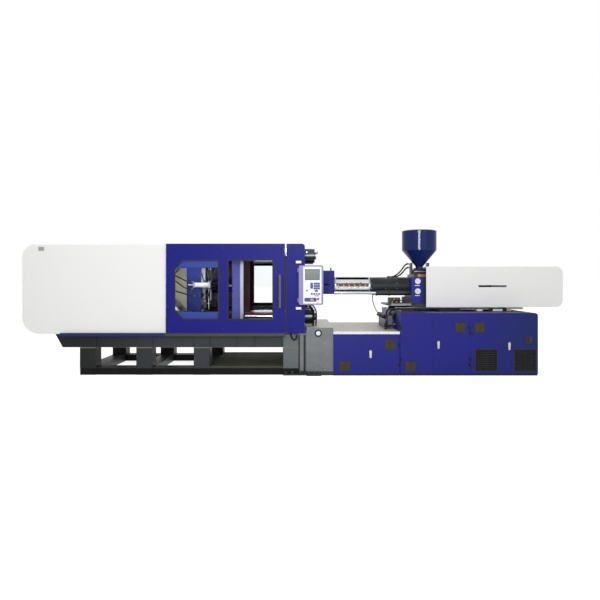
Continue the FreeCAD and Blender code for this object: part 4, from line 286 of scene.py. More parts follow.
def tool_grain():
    """Fine lines that a machining or brushing pass leaves along one axis."""
    tree, given, send = new_group(
        "Tool Grain", {"Color": MID_GREY, "Stretch": (6.0, 420.0, 420.0), "Roughness": 0.3,
                       "Contrast": 0.25}, ("Color", "Roughness", "Height"))
    place = object_place(tree)
    lines = noise(tree, stretched(tree, place, given["Stretch"]), 1.0, 3.0, 0.6)
    shift = swing(tree, lines, given["Contrast"])
    broad = swing(tree, noise(tree, place, 7.0, 4.0), 0.3)
    send(Color=brightened(tree, given["Color"], total(tree, 1.0, total(tree, shift, broad))),
         Roughness=total(tree, given["Roughness"], shift, clamp=True), Height=lines)
    return tree


def oil_film():
    """Dark glossy runs of oil and grease, drawn out downwards."""
    tree, given, send = new_group(
        "Oil Film", {"Color": MID_GREY, "Oil Color": (0.035, 0.026, 0.014, 1), "Roughness": 0.4,
                     "Amount": 0.3, "Scale": 6.0}, ("Color", "Roughness"))
    runs = stretched(tree, object_place(tree), (1.0, 1.0, 0.22))
    patch = spread(tree, noise(tree, runs, given["Scale"], 7.0, 0.62), 0.46, 0.66)
    mask = product(tree, patch, given["Amount"], clamp=True)
    smoother = calc(tree, "SUBTRACT", given["Roughness"], product(tree, mask, 0.18), clamp=True)
    send(Color=blend_colours(tree, mask, given["Color"], given["Oil Color"]), Roughness=smoother)
    return tree


def zone_mask():
    """One inside a box given by its lowest and highest corner, nought outside it."""
    tree, given, send = new_group("Zone", {"Low": (0.0, 0.0, 0.0), "High": (1.0, 1.0, 1.0)}, ("Mask",))
    parts = [add(tree, "SeparateXYZ", Vector=value).outputs
             for value in (object_place(tree), given["Low"], given["High"])]
    mask = 1.0
    for at, low, high in zip(*parts):
        mask = product(tree, mask, calc(tree, "GREATER_THAN", at, low))
        mask = product(tree, mask, calc(tree, "LESS_THAN", at, high))
    send(Mask=mask)
    return tree


def tread_pattern():
    """Raised lozenges of tread plate: two slanted waves whose crests cross."""
    tree, given, send = new_group("Tread", {"Pitch": 0.03}, ("Height",))
    x, y = add(tree, "SeparateXYZ", Vector=object_place(tree)).outputs[:2]
    turn = calc(tree, "DIVIDE", math.tau, given["Pitch"])
    waves = [calc(tree, "SINE", product(tree, total(tree, x, product(tree, y, slope)), turn))
             for slope in (1.0, -1.0)]
    send(Height=spread(tree, product(tree, *waves), 0.35, 0.7))
    return tree


def group(name, build, made={}):
    """The shader group of that name, built the first time it is asked for."""
    if name not in made:
        made[name] = build()
    return made[name]


# ---------------------------------------------------------------- materials


def opaque(value):
    return (*value, 1.0)


def use(tree, name, build, **sockets):
    """A shader group placed in a material with its own values."""
    node = tree.nodes.new("ShaderNodeGroup")
    node.node_tree = group(name, build)
    return fill(tree, node, sockets)


def over(tree, under, name, build, **sockets):
    """A shader group laid over the colour and the roughness of the one before it."""
    return use(tree, name, build, Color=under.outputs[0], Roughness=under.outputs[1], **sockets)


def blank(name, **sockets):
    """A new material with one Principled shader on its output, some of its sockets set."""
    material = bpy.data.materials.new(name)
    material.use_nodes = True
    tree = material.node_tree
    tree.nodes.clear()
    shader = add(tree, "BsdfPrincipled", **sockets)
    tree.links.new(shader.outputs[0], tree.nodes.new("ShaderNodeOutputMaterial").inputs["Surface"])
    return material, tree, shader


def in_zones(tree, value, zones, pick):
    """A colour or number that changes inside boxes, each (low, high, values)."""
    for low, high, values in zones:
        mask = use(tree, "Zone", zone_mask, Low=low, High=high).outputs["Mask"]
        if pick == "colour":
            value = blend_colours(tree, mask, value, opaque(values[pick]))
        else:
            value = add(tree, "Mix", {"data_type": "FLOAT"}, _0=mask, _2=value, _3=values[pick]).outputs[0]
    return value


def finish_end(tree, shader, last, height, distance, strength, zones, metal):
    """Feeds the shader from the last group, with the height as a bump. Metallic is a plain number where
    no zone differs from the rest."""
    bump = add(tree, "Bump", Height=height, Distance=distance, Strength=strength)
    if all(values["metal"] == metal for _, _, values in zones):
        zones = ()
    fill(tree, shader, {"Base_Color": last.outputs[0], "Roughness": last.outputs[1],
                        "Normal": bump.outputs[0], "Metallic": in_zones(tree, metal, zones, "metal")})


def painted(name, paint, rough=0.38, peel=0.0004, zones=(), drift=0.07, wear=1.0, scuff=0.2, oil=0.0,
            specular=0.25, peel_scale=260.0, tread=0.0, fade=None, drift_scale=1.3):
    """Sprayed or powder-coated paint, with plain metal or other paint inside its zones."""
    look = bpy.context.scene.machine_wear
    material, tree, shader = blank(name, Specular_IOR_Level=specular)
    start = opaque(paint)
    if fade:
        axis, begin, end, far_paint = fade
        along = part_of(tree, object_place(tree), axis)
        start = blend_colours(tree, spread(tree, along, begin, end), start, opaque(far_paint))
    skin = use(tree, "Paint Skin", paint_skin, Color=in_zones(tree, start, zones, "colour"),
               Roughness=in_zones(tree, rough, zones, "rough"), Drift=drift, Drift_Scale=drift_scale,
               Peel_Scale=peel_scale)
    dusty = over(tree, skin, "Settled Dust", settled_dust, Amount=look.dust, Scuff=scuff)
    last = over(tree, dusty, "Edge Wear", edge_wear, Width=look.edge_width, Amount=look.edge_wear * wear,
                Bare_Color=opaque([0.35 + 0.3 * part for part in paint]))
    if oil:
        last = over(tree, last, "Oil Film", oil_film, Amount=oil)
    height = skin.outputs["Height"]
    if tread:
        lozenges = use(tree, "Tread", tread_pattern, Pitch=tread).outputs[0]
        height = total(tree, height, product(tree, lozenges, 5.0))
    finish_end(tree, shader, last, height, peel, 0.5, zones, 0.0)
    return material


def bare(name, metal, rough=0.3, stretch=(6.0, 420.0, 420.0), contrast=0.2, oil=0.0, zones=()):
    """Bare or plated metal with its tool marks and a film of oil."""
    material, tree, shader = blank(name)
    lines = use(tree, "Tool Grain", tool_grain, Color=in_zones(tree, opaque(metal), zones, "colour"),
                Roughness=in_zones(tree, rough, zones, "rough"), Stretch=stretch, Contrast=contrast)
    film = over(tree, lines, "Oil Film", oil_film, Amount=oil)
    finish_end(tree, shader, film, lines.outputs["Height"], GRAIN_DEPTH, 0.4, zones, 1.0)
    return material


def moulded(name, plastic, rough=0.45, specular=0.4, coat=0.0, zones=()):
    """Moulded plastic or rubber with a fine skin."""
    material, tree, shader = blank(name, Specular_IOR_Level=specular, Coat_Weight=coat, Coat_Roughness=0.05)
    skin = use(tree, "Paint Skin", paint_skin, Color=in_zones(tree, opaque(plastic), zones, "colour"),
               Roughness=in_zones(tree, rough, zones, "rough"), Drift=0.05, Peel_Scale=700.0)
    dusty = over(tree, skin, "Settled Dust", settled_dust, Scuff=0.0,
                 Amount=bpy.context.scene.machine_wear.dust * 0.6)
    finish_end(tree, shader, dusty, skin.outputs["Height"], MOULD_SKIN_DEPTH, 0.5, zones, 0.0)
    return material


def clear_pane(name):
    """Polycarbonate pane with a faint haze of fine wiping marks."""
    material, tree, shader = blank(name, IOR=1.05, Transmission_Weight=1.0, Specular_IOR_Level=0.3)
    place = object_place(tree)
    haze = spread(tree, noise(tree, stretched(tree, place, (5.0, 1.0, 40.0)), 3.0, 6.0), 0.35, 0.8, 0.0, 0.05)
    tint = blend_colours(tree, spread(tree, noise(tree, place, 2.0), 0.3, 0.7), (0.98, 0.99, 1.0, 1),
                         (0.95, 0.97, 0.98, 1))
    fill(tree, shader, {"Roughness": haze, "Base_Color": tint})
    return material


GRAIN_DEPTH = 0.00004
MOULD_SKIN_DEPTH = 0.0002
STEEL = display(168, 174, 178)
DARK_STEEL = display(78, 82, 86)
CHROME = display(214, 218, 222)
BLACK = display(18, 19, 21)


def steel_zone(low, high, metal=STEEL, rough=0.32):
    return (low, high, {"colour": metal, "rough": rough, "metal": 1.0})


def paint_zone(low, high, paint, rough=0.4):
    return (low, high, {"colour": paint, "rough": rough, "metal": 0.0})


def slice_corners(axis, low, high):
    """Corners of a box without end along two axes, and from low to high along the third."""
    start, end = np.full(3, -20.0), np.full(3, 20.0)
    start[axis], end[axis] = low, high
    return tuple(start), tuple(end)


def steel_slice(axis, low, high, *look):
    return steel_zone(*slice_corners(axis, low, high), *look)


def paint_slice(axis, low, high, *look):
    return paint_zone(*slice_corners(axis, low, high), *look)


# ---------------------------------------------------------------- numpy surfaces


def lattice(points):
    """Corners and quads of a grid of points P(u, v), with u closed on itself."""
    rows, columns = points.shape[:2]
    across = np.arange(rows)[:, None]
    up = np.arange(columns - 1)[None, :]
    here, there = across * columns, ((across + 1) % rows) * columns
    faces = np.stack([here + up, there + up, there + up + 1, here + up + 1], axis=-1)
    return points.reshape(-1, 3), faces.reshape(-1, 4)


def side_axes(axis):
    """Two unit vectors square to the axis and to each other, right-handed with it."""
    axis = np.asarray(axis, float) / np.linalg.norm(axis)
    first = np.cross(AXES[np.argmin(np.abs(axis))], axis)
    first /= np.linalg.norm(first)
    return axis, first, np.cross(axis, first)


def turned(profile, centre, axis, sides=48):
    """P(u, v) = centre + axis * s(v) + r(v) * (cos u * first + sin u * second), closed at both ends,
    with the profile's rows as (s, r)."""
    axis, first, second = side_axes(axis)
    profile = np.array([(profile[0][0], 0.0), *profile, (profile[-1][0], 0.0)])
    turn = np.linspace(0, math.tau, sides, endpoint=False)
    ring = np.cos(turn)[:, None] * first + np.sin(turn)[:, None] * second
    points = np.asarray(centre) + profile[None, :, :1] * axis + profile[None, :, 1:] * ring[:, None, :]
    return lattice(points)


def rounded_outline(width, height, radius):
    """A rectangle whose corners are quarter circles, as points of (across, up)."""
    quarter = np.linspace(0, math.pi / 2, CORNER_POINTS)
    arc = radius * np.stack([np.cos(quarter), np.sin(quarter)], axis=1)
    sides = []
    for turn, sign in enumerate(((1, 1), (-1, 1), (-1, -1), (1, -1))):
        angle = turn * math.pi / 2
        spin = np.array([[math.cos(angle), math.sin(angle)], [-math.sin(angle), math.cos(angle)]])
        sides.append(arc @ spin + np.array(sign) * (np.array([width, height]) / 2 - radius))
    return np.concatenate(sides)


def slab(centre, width, height, depth, radius=0.004, edge=0.0015):
    """A plate that faces the operator: P(u, v) = centre - s(v) * y + outline(u), with centre on the back
    face and the outline drawn in by the edge's round at both faces."""
    edge = min(edge, depth / 2.01, radius * 0.9)
    outline = rounded_outline(width, height, radius)
    small = rounded_outline(width - 2 * edge, height - 2 * edge, max(radius - edge, 1e-5))
    rows = [(0, small * 0), (0, small), (edge, outline), (depth - edge, outline), (depth, small),
            (depth, small * 0)]
    points = [np.asarray(centre) - step * AXES[1] + flat[:, :1] * AXES[0] - flat[:, 1:] * AXES[2]
              for step, flat in rows]
    return lattice(np.stack(points, axis=1))


def swept(path, radius, sides=12):
    """P(u, v) = path(v) + r * (cos u * side(v) + sin u * lift(v)), the side carried along the path
    without twist, with both ends drawn to their middle."""
    path = np.asarray(path, float)
    along = np.gradient(path, axis=0)
    along /= np.linalg.norm(along, axis=1)[:, None]
    reference = AXES[np.argmin(np.abs(along).max(axis=0))]
    side = np.cross(along, reference)
    side /= np.linalg.norm(side, axis=1)[:, None]
    lift = np.cross(along, side)
    turn = np.linspace(0, -math.tau, sides, endpoint=False)[:, None, None]
    radii = np.broadcast_to(radius, len(path))[None, :, None]
    points = path[None] + radii * (np.cos(turn) * side[None] + np.sin(turn) * lift[None])
    closed = np.concatenate([np.broadcast_to(path[0], (sides, 1, 3)), points,
                             np.broadcast_to(path[-1], (sides, 1, 3))], axis=1)
    return lattice(closed)


def rounded_path(corners, radius):
    """Straight runs through the corners, each corner replaced by the parabola that touches both runs:
    P(t) = (1 - t)^2 a + 2 t (1 - t) corner + t^2 b, with a and b one radius away from the corner."""
    corners = np.asarray(corners, float)
    t = np.linspace(0, 1, BEND_POINTS)[:, None]
    parts = [corners[:1]]
    for before, here, after in zip(corners[:-2], corners[1:-1], corners[2:]):
        back, ahead = before - here, after - here
        reach = min(radius, np.linalg.norm(back) * 0.49, np.linalg.norm(ahead) * 0.49)
        a = here + back / np.linalg.norm(back) * reach
        b = here + ahead / np.linalg.norm(ahead) * reach
        parts.append((1 - t) ** 2 * a + 2 * t * (1 - t) * here + t ** 2 * b)
    parts.append(corners[-1:])
    return np.concatenate(parts)


def cap_screw(centre, radius, height, axis):
    """Button-headed screw: a low dome r(s) with a six-sided socket sunk in its crown."""
    profile = [(0.0, radius), (0.35 * height, radius), (0.8 * height, radius * 0.8),
               (height, radius * 0.45), (0.55 * height, radius * 0.4)]
    return turned(profile, centre, axis, 18)


def hex_head(centre, radius, height, axis):
    """Hexagon bolt head with a chamfered crown."""
    return turned([(0.0, radius), (0.82 * height, radius), (height, radius * 0.86)], centre, axis, 6)


def repeated(shape, offsets):
    """The shape's points shifted by each offset, with its faces renumbered."""
    points, faces = shape
    offsets = np.asarray(offsets, float)
    many = (points[None] + offsets[:, None]).reshape(-1, 3)
    shift = np.arange(len(offsets))[:, None, None] * len(points)
    return many, (faces[None] + shift).reshape(-1, faces.shape[1])


def hoop(inner, outer, width, centre, axis):
    """P(u, v) = centre + s(v) * axis + r(v) * (cos u * first + sin u * second), round a square section."""
    axis, first, second = side_axes(axis)
    section = [(0, inner), (0, outer), (width, outer), (width, inner), (0, inner)]
    turn = np.linspace(0, math.tau, 64, endpoint=False)[:, None]
    spoke = np.cos(turn) * first + np.sin(turn) * second
    points = [np.asarray(centre) + along * axis + radius * spoke for along, radius in section]
    return lattice(np.stack(points, axis=1))


def disc(radius, depth, centre, axis, sides):
    """A round plate whose far rim is drawn in by a share of its depth."""
    cut = depth * 0.12
    return turned([(0.0, radius), (depth - cut, radius), (depth, radius - cut)], centre, axis, sides)


def block(low, high, radius=0.003):
    """A box between two corners with its upright edges rounded."""
    low, high = np.minimum(low, high), np.maximum(low, high)
    middle = (low + high) / 2
    size = high - low
    return slab((middle[0], high[1], middle[2]), size[0], size[2], size[1],
                radius=min(radius, size[0] * 0.45, size[2] * 0.45))


def outline_strip(corners, width, front, back):
    """A mitred strip along the inside of an outline of (x, z) corners, between two depths:
    P(u, v) = corner(u) + w(v) * mitre(u), with the mitre the sum of both sides' inward normals."""
    corners = np.asarray(corners, float)
    ahead = np.roll(corners, -1, axis=0) - corners
    ahead /= np.linalg.norm(ahead, axis=1)[:, None]
    inward = np.stack([-ahead[:, 1], ahead[:, 0]], axis=1)
    before = np.roll(inward, 1, axis=0)
    mitre = (inward + before) / (1 + (inward * before).sum(axis=1))[:, None]
    rows = [(0.0, front), (width, front), (width, back), (0.0, back), (0.0, front)]
    points = [np.insert(corners + step * mitre, 1, depth, axis=1) for step, depth in rows]
    return lattice(np.stack(points, axis=1))


def hose(corners, radius, bend, sides=12):
    """A hose through its corners, each bend as wide as given."""
    return swept(rounded_path(corners, bend), radius, sides)


def piece(name, shapes, material, body):
    """One object from several surfaces: doubles merged, faces turned outwards, riding on its body."""
    starts = np.cumsum([0] + [len(points) for points, _ in shapes[:-1]])
    points = np.concatenate([points for points, _ in shapes])
    faces = np.concatenate([faces + start for (_, faces), start in zip(shapes, starts)])
    mesh = bpy.data.meshes.new(name)
    mesh.from_pydata(points.tolist(), [], faces.tolist())
    work = bmesh.new()
    work.from_mesh(mesh)
    bmesh.ops.remove_doubles(work, verts=work.verts, dist=2e-6)
    bmesh.ops.dissolve_degenerate(work, edges=work.edges, dist=1e-7)
    bmesh.ops.recalc_face_normals(work, faces=work.faces)
    work.to_mesh(mesh)
    work.free()
    mesh.shade_smooth()
    mesh.set_sharp_from_angle(angle=math.radians(SHARP_ANGLE))
    mesh.materials.append(material)
    thing = bpy.data.objects.new(name, mesh)
    bpy.context.scene.collection.objects.link(thing)
    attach(thing, body)


def finish(name, build, *values, made={}, **settings):
    """The material of that name, built the first time it is asked for."""
    if name not in made:
        made[name] = build(name, *values, **settings)
    return made[name]


def trim_black():
    return finish("trim_black", moulded, BLACK, rough=0.5)


def bright_screw():
    return finish("bright_screw", bare, STEEL, rough=0.28, contrast=0.1)


def rubber():
    return finish("hose_black", moulded, display(12, 12, 13), rough=0.55, specular=0.3)


def dull_nut():
    return finish("nut_dull_zinc", bare, display(112, 108, 96), rough=0.4, contrast=0.12)


def brass(paint):
    return finish("brass_fitting", bare, paint.brass, rough=0.3, contrast=0.12)


# ---------------------------------------------------------------- finishes of the solids


class MACHINE_OT_finishes(bpy.types.Operator):
    """Gives every solid of the machine its own finish"""

    bl_idname = "machine.finishes"
    bl_label = "Finishes"

    def execute(self, context):
        paint = context.scene.machine_paints
        wear = context.scene.machine_wear
        looks = self.base_looks(paint) | self.clamp_looks(paint, wear)
        looks |= self.guard_looks(paint) | self.injection_looks(paint, wear)
        for node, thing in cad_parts.items():
            if node not in looks:
                raise RuntimeError(f"{node} has no finish")
            thing.data.materials.clear()
            thing.data.materials.append(looks[node])
        return {"FINISHED"}

    def base_looks(self, paint):
        """Base, trays, cabinets and their hardware."""
        soles, feet, joint, flange = (-1.0, 0.052), (-1.0, 0.1), (0.403, 0.416), (0.606, 0.7)
        last_leg = (-0.245, -1.0, 0.0), (0.0, 1.0, 0.7)
        frame_paint = painted(
            "base_frame_paint", paint.base_dark, rough=0.42, drift=0.16, scuff=0.5, specular=0.1,
            fade=(0, -3.2, -2.0, paint.base_grey), zones=[
                paint_zone(*last_leg, display(104, 110, 113)), paint_slice(2, *flange, paint.tray_olive),
                paint_slice(2, *joint, display(120, 122, 98)), paint_slice(2, *feet, display(9, 9, 9)),
                paint_slice(2, *soles, display(6, 6, 6))])
        block_paint = painted(
            "block_paint", display(116, 120, 122), rough=0.4, drift=0.3, drift_scale=7.0, peel=0.0016,
            peel_scale=60.0, scuff=0.5, zones=[
                paint_slice(2, -1.0, 0.062, display(44, 45, 46)),
                paint_zone((-0.021, -1.0, 0.02), (0.011, 1.0, 0.6), BLACK),
                paint_zone((0.068, -0.95, 0.02), (0.1, 0.95, 0.6), BLACK),
                paint_slice(2, 0.7135, 0.72, paint.bed_beige, 0.5)])
        bed_paint = painted(
            "bed_plate_paint", paint.bed_beige, rough=0.5, drift=0.5, drift_scale=70.0, peel=0.0008,
            peel_scale=120.0, tread=0.045, zones=[paint_slice(1, -1.2, -0.9375, display(236, 236, 240))])
        trim = MACHINE_OT_cabinet_trim
        edge = trim.VENT_EDGE
        vents = [paint_zone((left - edge, -1.0, low - edge), (left + size + edge, -0.93, low + size + edge),
                            display(76, 70, 44) if size < trim.BIG_VENT else display(9, 9, 9), 0.7)
                 for _, left, low, size in trim.VENTS]
        sheet = {"rough": 0.4, "specular": 0.18, "fade": (0, 2.6, 3.6, display(22, 36, 92))}
        doors = painted("cabinet_blue", paint.guard_blue, **sheet,
                        zones=[*vents, paint_slice(1, -1.0, -0.9503, BLACK)])
        boxes = painted("cabinet_blue_plinth", paint.guard_blue, **sheet,
                        zones=[*vents, paint_slice(2, -1.0, 0.0285, BLACK)])
        handles = bare("door_handle_chrome", display(166, 172, 168), rough=0.34, stretch=(300.0, 300.0, 6.0))
        return {
            "base_side_frames": frame_paint,
            "base_cross_tubes": painted("cross_tube_paint", display(34, 35, 34), drift=0.12),
            "clamp_slideways": bare("slideway_steel", STEEL, rough=0.26, oil=0.35),
            "drip_tray": painted("tray_paint", display(86, 88, 74), rough=0.8, drift=0.2, specular=0.04),
            "injection_base_block": block_paint,
            "bed_cover_plate": bed_paint,
            "main_switch": moulded("switch_red", display(50, 13, 14), rough=0.4, coat=0.1),
            **dict.fromkeys(("low_cabinet", "tall_cabinet"), boxes),
            **dict.fromkeys(("low_door_handle", "middle_door_handle", "right_door_handle"), handles),
            **dict.fromkeys(("low_cabinet_door", "tall_cabinet_door_left", "tall_cabinet_door_middle",
                             "tall_cabinet_door_right"), doors),
        }

    def clamp_looks(self, paint, wear):
        """Platens, tie bars and the toggle's running gear."""
        drawn = (3.0, 260.0, 260.0)
        # Dark red painted reflection of the mould faces on the chrome tie bars, not rust
        painted_mould_reflection = display(92, 36, 42)
        bar = bare("tie_bar_chrome", CHROME, rough=0.12, stretch=drawn, contrast=0.08, zones=[
            steel_slice(0, -20.0, -3.3, DARK_STEEL), steel_slice(0, 0.0855, 20.0, DARK_STEEL),
            # painted reflection: upper side of the near lower bar and lower side of the far lower bar mirror
            # the red mould
            steel_zone((-0.86, -0.5, 0.873), (-0.19, 0.0, 0.93), painted_mould_reflection),
            steel_zone((-0.86, 0.0, 0.76), (-0.19, 0.5, 0.873), painted_mould_reflection)])
        flange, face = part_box("moving_platen")[1][0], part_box("fixed_platen")[0][0]
        platen = painted(
            "moving_platen_paint", paint.platen_blue, rough=0.36, oil=wear.oil * 0.3, specular=0.14, zones=[
                # dark band over the ribbed hollow behind the front plate: painted shade in the hollow
                paint_slice(0, -1.515, -1.0415, display(36, 38, 46), 0.4),
                steel_slice(0, flange - 0.053, flange - 0.004, display(150, 154, 160)),
                paint_slice(0, flange - 0.004, flange + 0.01, paint.mould_rust, 1.0),
                paint_slice(0, -1.99, -1.515, display(30, 44, 112), 0.4), steel_slice(2, 0.5, 0.70)])
        oily = {"rough": 0.36, "oil": wear.oil, "specular": 0.6}
        links = painted("toggle_link_casting", display(72, 76, 80), drift=0.2, **oily)
        return {
            "fixed_platen": painted(
                "fixed_platen_paint", paint.platen_blue, rough=0.36, specular=0.14, zones=[
                    paint_slice(0, face - 0.01, face + 0.004, paint.mould_rust, 1.0),
                    steel_slice(0, face + 0.004, face + 0.06)]),
            "tie_bars": bar,
            "pull_rods": bare("pull_rod_chrome", CHROME, rough=0.1, stretch=drawn, contrast=0.06),
            "moving_platen": platen,
            "rear_platen": painted("rear_platen_paint", paint.rear_platen_blue, rough=0.34,
                                   oil=wear.oil * 0.3),
            "crosshead": painted("crosshead_casting", display(60, 64, 70), **oily),
            "clamp_cylinder": bare("clamp_cylinder_steel", DARK_STEEL, rough=0.34, oil=wear.oil),
            "mould_height_gear": bare("gear_steel", DARK_STEEL, rough=0.36, oil=wear.oil),
            "ejector_bar_and_rods": bare("machined_steel", STEEL, rough=0.3, stretch=(420.0, 12.0, 420.0),
                                         oil=wear.oil * 0.5),
            **{f"{link}_link_{side}": links for link in ("rear_toggle", "front_toggle", "crosshead")
               for side in ("upper", "lower")},
        }

    def guard_looks(self, paint):
        """Covers, guards, panes and the operator's box."""
        inner_panel = (-2.6, 0.8, 0.9), (-1.99, 0.8895, 1.645)
        key_field = (0.0632, -1.0462, 1.0802), (0.3318, -1.0438, 1.6238)
        door_grip = (-0.2985, -1.02, 1.0155), (-0.2675, -0.9655, 1.5055)
        pane = clear_pane("guard_pane")
        return {
            "clamp_cover": painted(
                "clamp_cover_white", paint.cover_white, rough=0.36, drift=0.015, wear=0.5, zones=[
                    paint_slice(1, 0.8, 0.8895, paint.guard_blue), paint_zone(*inner_panel, paint.cream)]),
            "operator_door": painted("guard_blue_paint", paint.guard_blue, rough=0.4, drift=0.05,
                                     specular=0.08, zones=[paint_zone(*door_grip, display(92, 96, 84))]),
            "operator_door_windows": pane,
            "rear_door": painted("rear_guard_blue", paint.guard_blue, rough=0.4, zones=[
                paint_zone((-0.84, 0.9, 1.7), (-0.4, 0.962, 1.8), display(120, 118, 128)),
                # dark band low on the far guard's inner face, under the mould: painted shade
                paint_zone((-0.84, 0.9, 0.6), (-0.4, 0.962, 1.001), display(26, 16, 20)),
                paint_zone((-0.91, 0.9, 0.6), (-0.8325, 0.962, 1.8), paint.mould_rust, 1.0)]),
            "rear_door_windows": pane,
            "door_tracks": painted("track_paint", display(24, 34, 88), rough=0.4, zones=[
                paint_zone((-1.998, -1.2, 0.5), (0.2, 1.2, 0.66), display(58, 60, 50)),
                steel_slice(2, 1.8, 2.2, display(150, 150, 170))]),
            "side_panels": painted("side_panel_blue", paint.guard_blue, rough=0.4, specular=0.08),
            "control_box": moulded("control_housing", paint.housing_lavender, rough=0.42,
                                   zones=[paint_zone(*key_field, display(238, 240, 246), 0.36)]),
            "emergency_stop_button": moulded("emergency_red", paint.button_red, rough=0.28, coat=0.5),
            "cycle_start_button": moulded("cycle_pink", display(222, 84, 96), rough=0.3, coat=0.4),
            "mode_selector_knob": moulded("selector_white", display(232, 232, 234), rough=0.3),
            "nozzle_guard": painted("nozzle_guard_blue", paint.guard_blue, rough=0.4, specular=0.12),
        }

    def injection_looks(self, paint, wear):
        """Barrel, carriage, hopper and hydraulics."""
        throat_flange = (1.913, -0.28, 1.4765), (2.057, -0.2, 1.5215)
        shoes = (1.48, -0.301, 1.019), (1.8, 0.301, 1.0515)
        casting = painted("feed_casting_black", display(26, 27, 30), rough=0.4, specular=0.4, zones=[
            steel_zone(*throat_flange, paint.brass, 0.34), steel_zone(*shoes, display(120, 122, 126))])
        gloss = painted("hopper_gloss_blue", paint.hopper_blue, rough=0.1, peel=0.000004, specular=0.17,
                        wear=0.3, drift=0.03)
        hoses = moulded("hose_rubber", display(12, 12, 13), rough=0.6, specular=0.25)
        return {
            "barrel": bare("barrel_steel", display(96, 92, 88), rough=0.4),
            "barrel_front_cover": bare("barrel_cover_stainless", CHROME, rough=0.24, contrast=0.12, zones=[
                # near-black band along the stainless cover's top: painted dark reflection
                steel_slice(2, 1.434, 1.6, display(12, 13, 15), 0.95),
                paint_slice(2, 1.318, 1.374, display(98, 70, 56), 0.5),
                # dark band on the lower front of the cover: painted shade
                paint_slice(2, 1.241, 1.267, display(30, 30, 32), 0.5)]),
            "barrel_rear_cover": painted("barrel_cover_black", display(34, 38, 41), rough=0.34, specular=0.2),
            "carriage_rails": painted("rail_black", display(24, 25, 28), rough=0.36, zones=[
                steel_slice(2, 0.986, 1.1, STEEL),
                paint_zone((2.56, -1.0, 0.918), (3.01, 1.0, 0.967), paint.cover_white),
                paint_zone((3.08, -1.0, 0.918), (3.23, 1.0, 0.967), paint.cover_white),
                paint_slice(0, 3.3, 3.6, display(186, 176, 148))]),
            "feed_housing": casting,
            "hopper_gate": bare("gate_stainless", STEEL, rough=0.3),
            "feed_cover": painted("feed_cover_blue", display(33, 35, 142), rough=0.4),
            "injection_cylinders": bare("injection_cylinder_steel", DARK_STEEL, rough=0.3, oil=wear.oil),
            "injection_plate": painted("injection_plate_paint", display(60, 62, 70), rough=0.4),
            "screw": bare("screw_steel", CHROME, rough=0.18),
            "injection_cover": painted("injection_cover_white", paint.cover_white, rough=0.36, drift=0.015,
                                       wear=0.5),
            "hydraulic_manifold": painted("manifold_paint", display(58, 60, 78), rough=0.42, drift=0.15,
                                          oil=wear.oil * 0.6),
            **dict.fromkeys(("hopper", "hopper_lid"), gloss),
            **dict.fromkeys(("hopper_cables", "heater_cable", "cooling_hoses"), hoses),
        }


# ---------------------------------------------------------------- cord


class MACHINE_OT_heater_cable(bpy.types.Operator):
    """The thin cable that hangs from under the barrel cover to its socket"""

    bl_idname = "machine.heater_cable"
    bl_label = "Heater cable"

    ROUTE = ((1.216, 0, 1.1868), (1.216, 0, 1.128), (1.232, 0.062, 1.055), (1.275, 0.155, 0.968),
             (1.33, 0.262, 0.885), (1.388, 0.372, 0.808), (1.44, 0.48, 0.742), (1.462, 0.55, 0.7),
             (1.462, 0.605, 0.7))

    def execute(self, context):
        line = bpy.data.curves.new("heater_cable_line", "CURVE")
        line.dimensions = "3D"
        line.bevel_depth = 0.007
        line.bevel_resolution = 4
        line.resolution_u = 10
        line.use_fill_caps = True
        spline = line.splines.new("NURBS")
        spline.points.add(len(self.ROUTE) - 1)
        for point, place in zip(spline.points, self.ROUTE):
            point.co = (*place, 1.0)
        spline.order_u = 3
        spline.use_endpoint_u = True
        line.materials.append(rubber())
        cable = bpy.data.objects.new("heater_cable_free", line)
        context.scene.collection.objects.link(cable)
        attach(cable, "base")
        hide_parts("heater_cable")
        return {"FINISHED"}


# ---------------------------------------------------------------- trim of the guards and covers


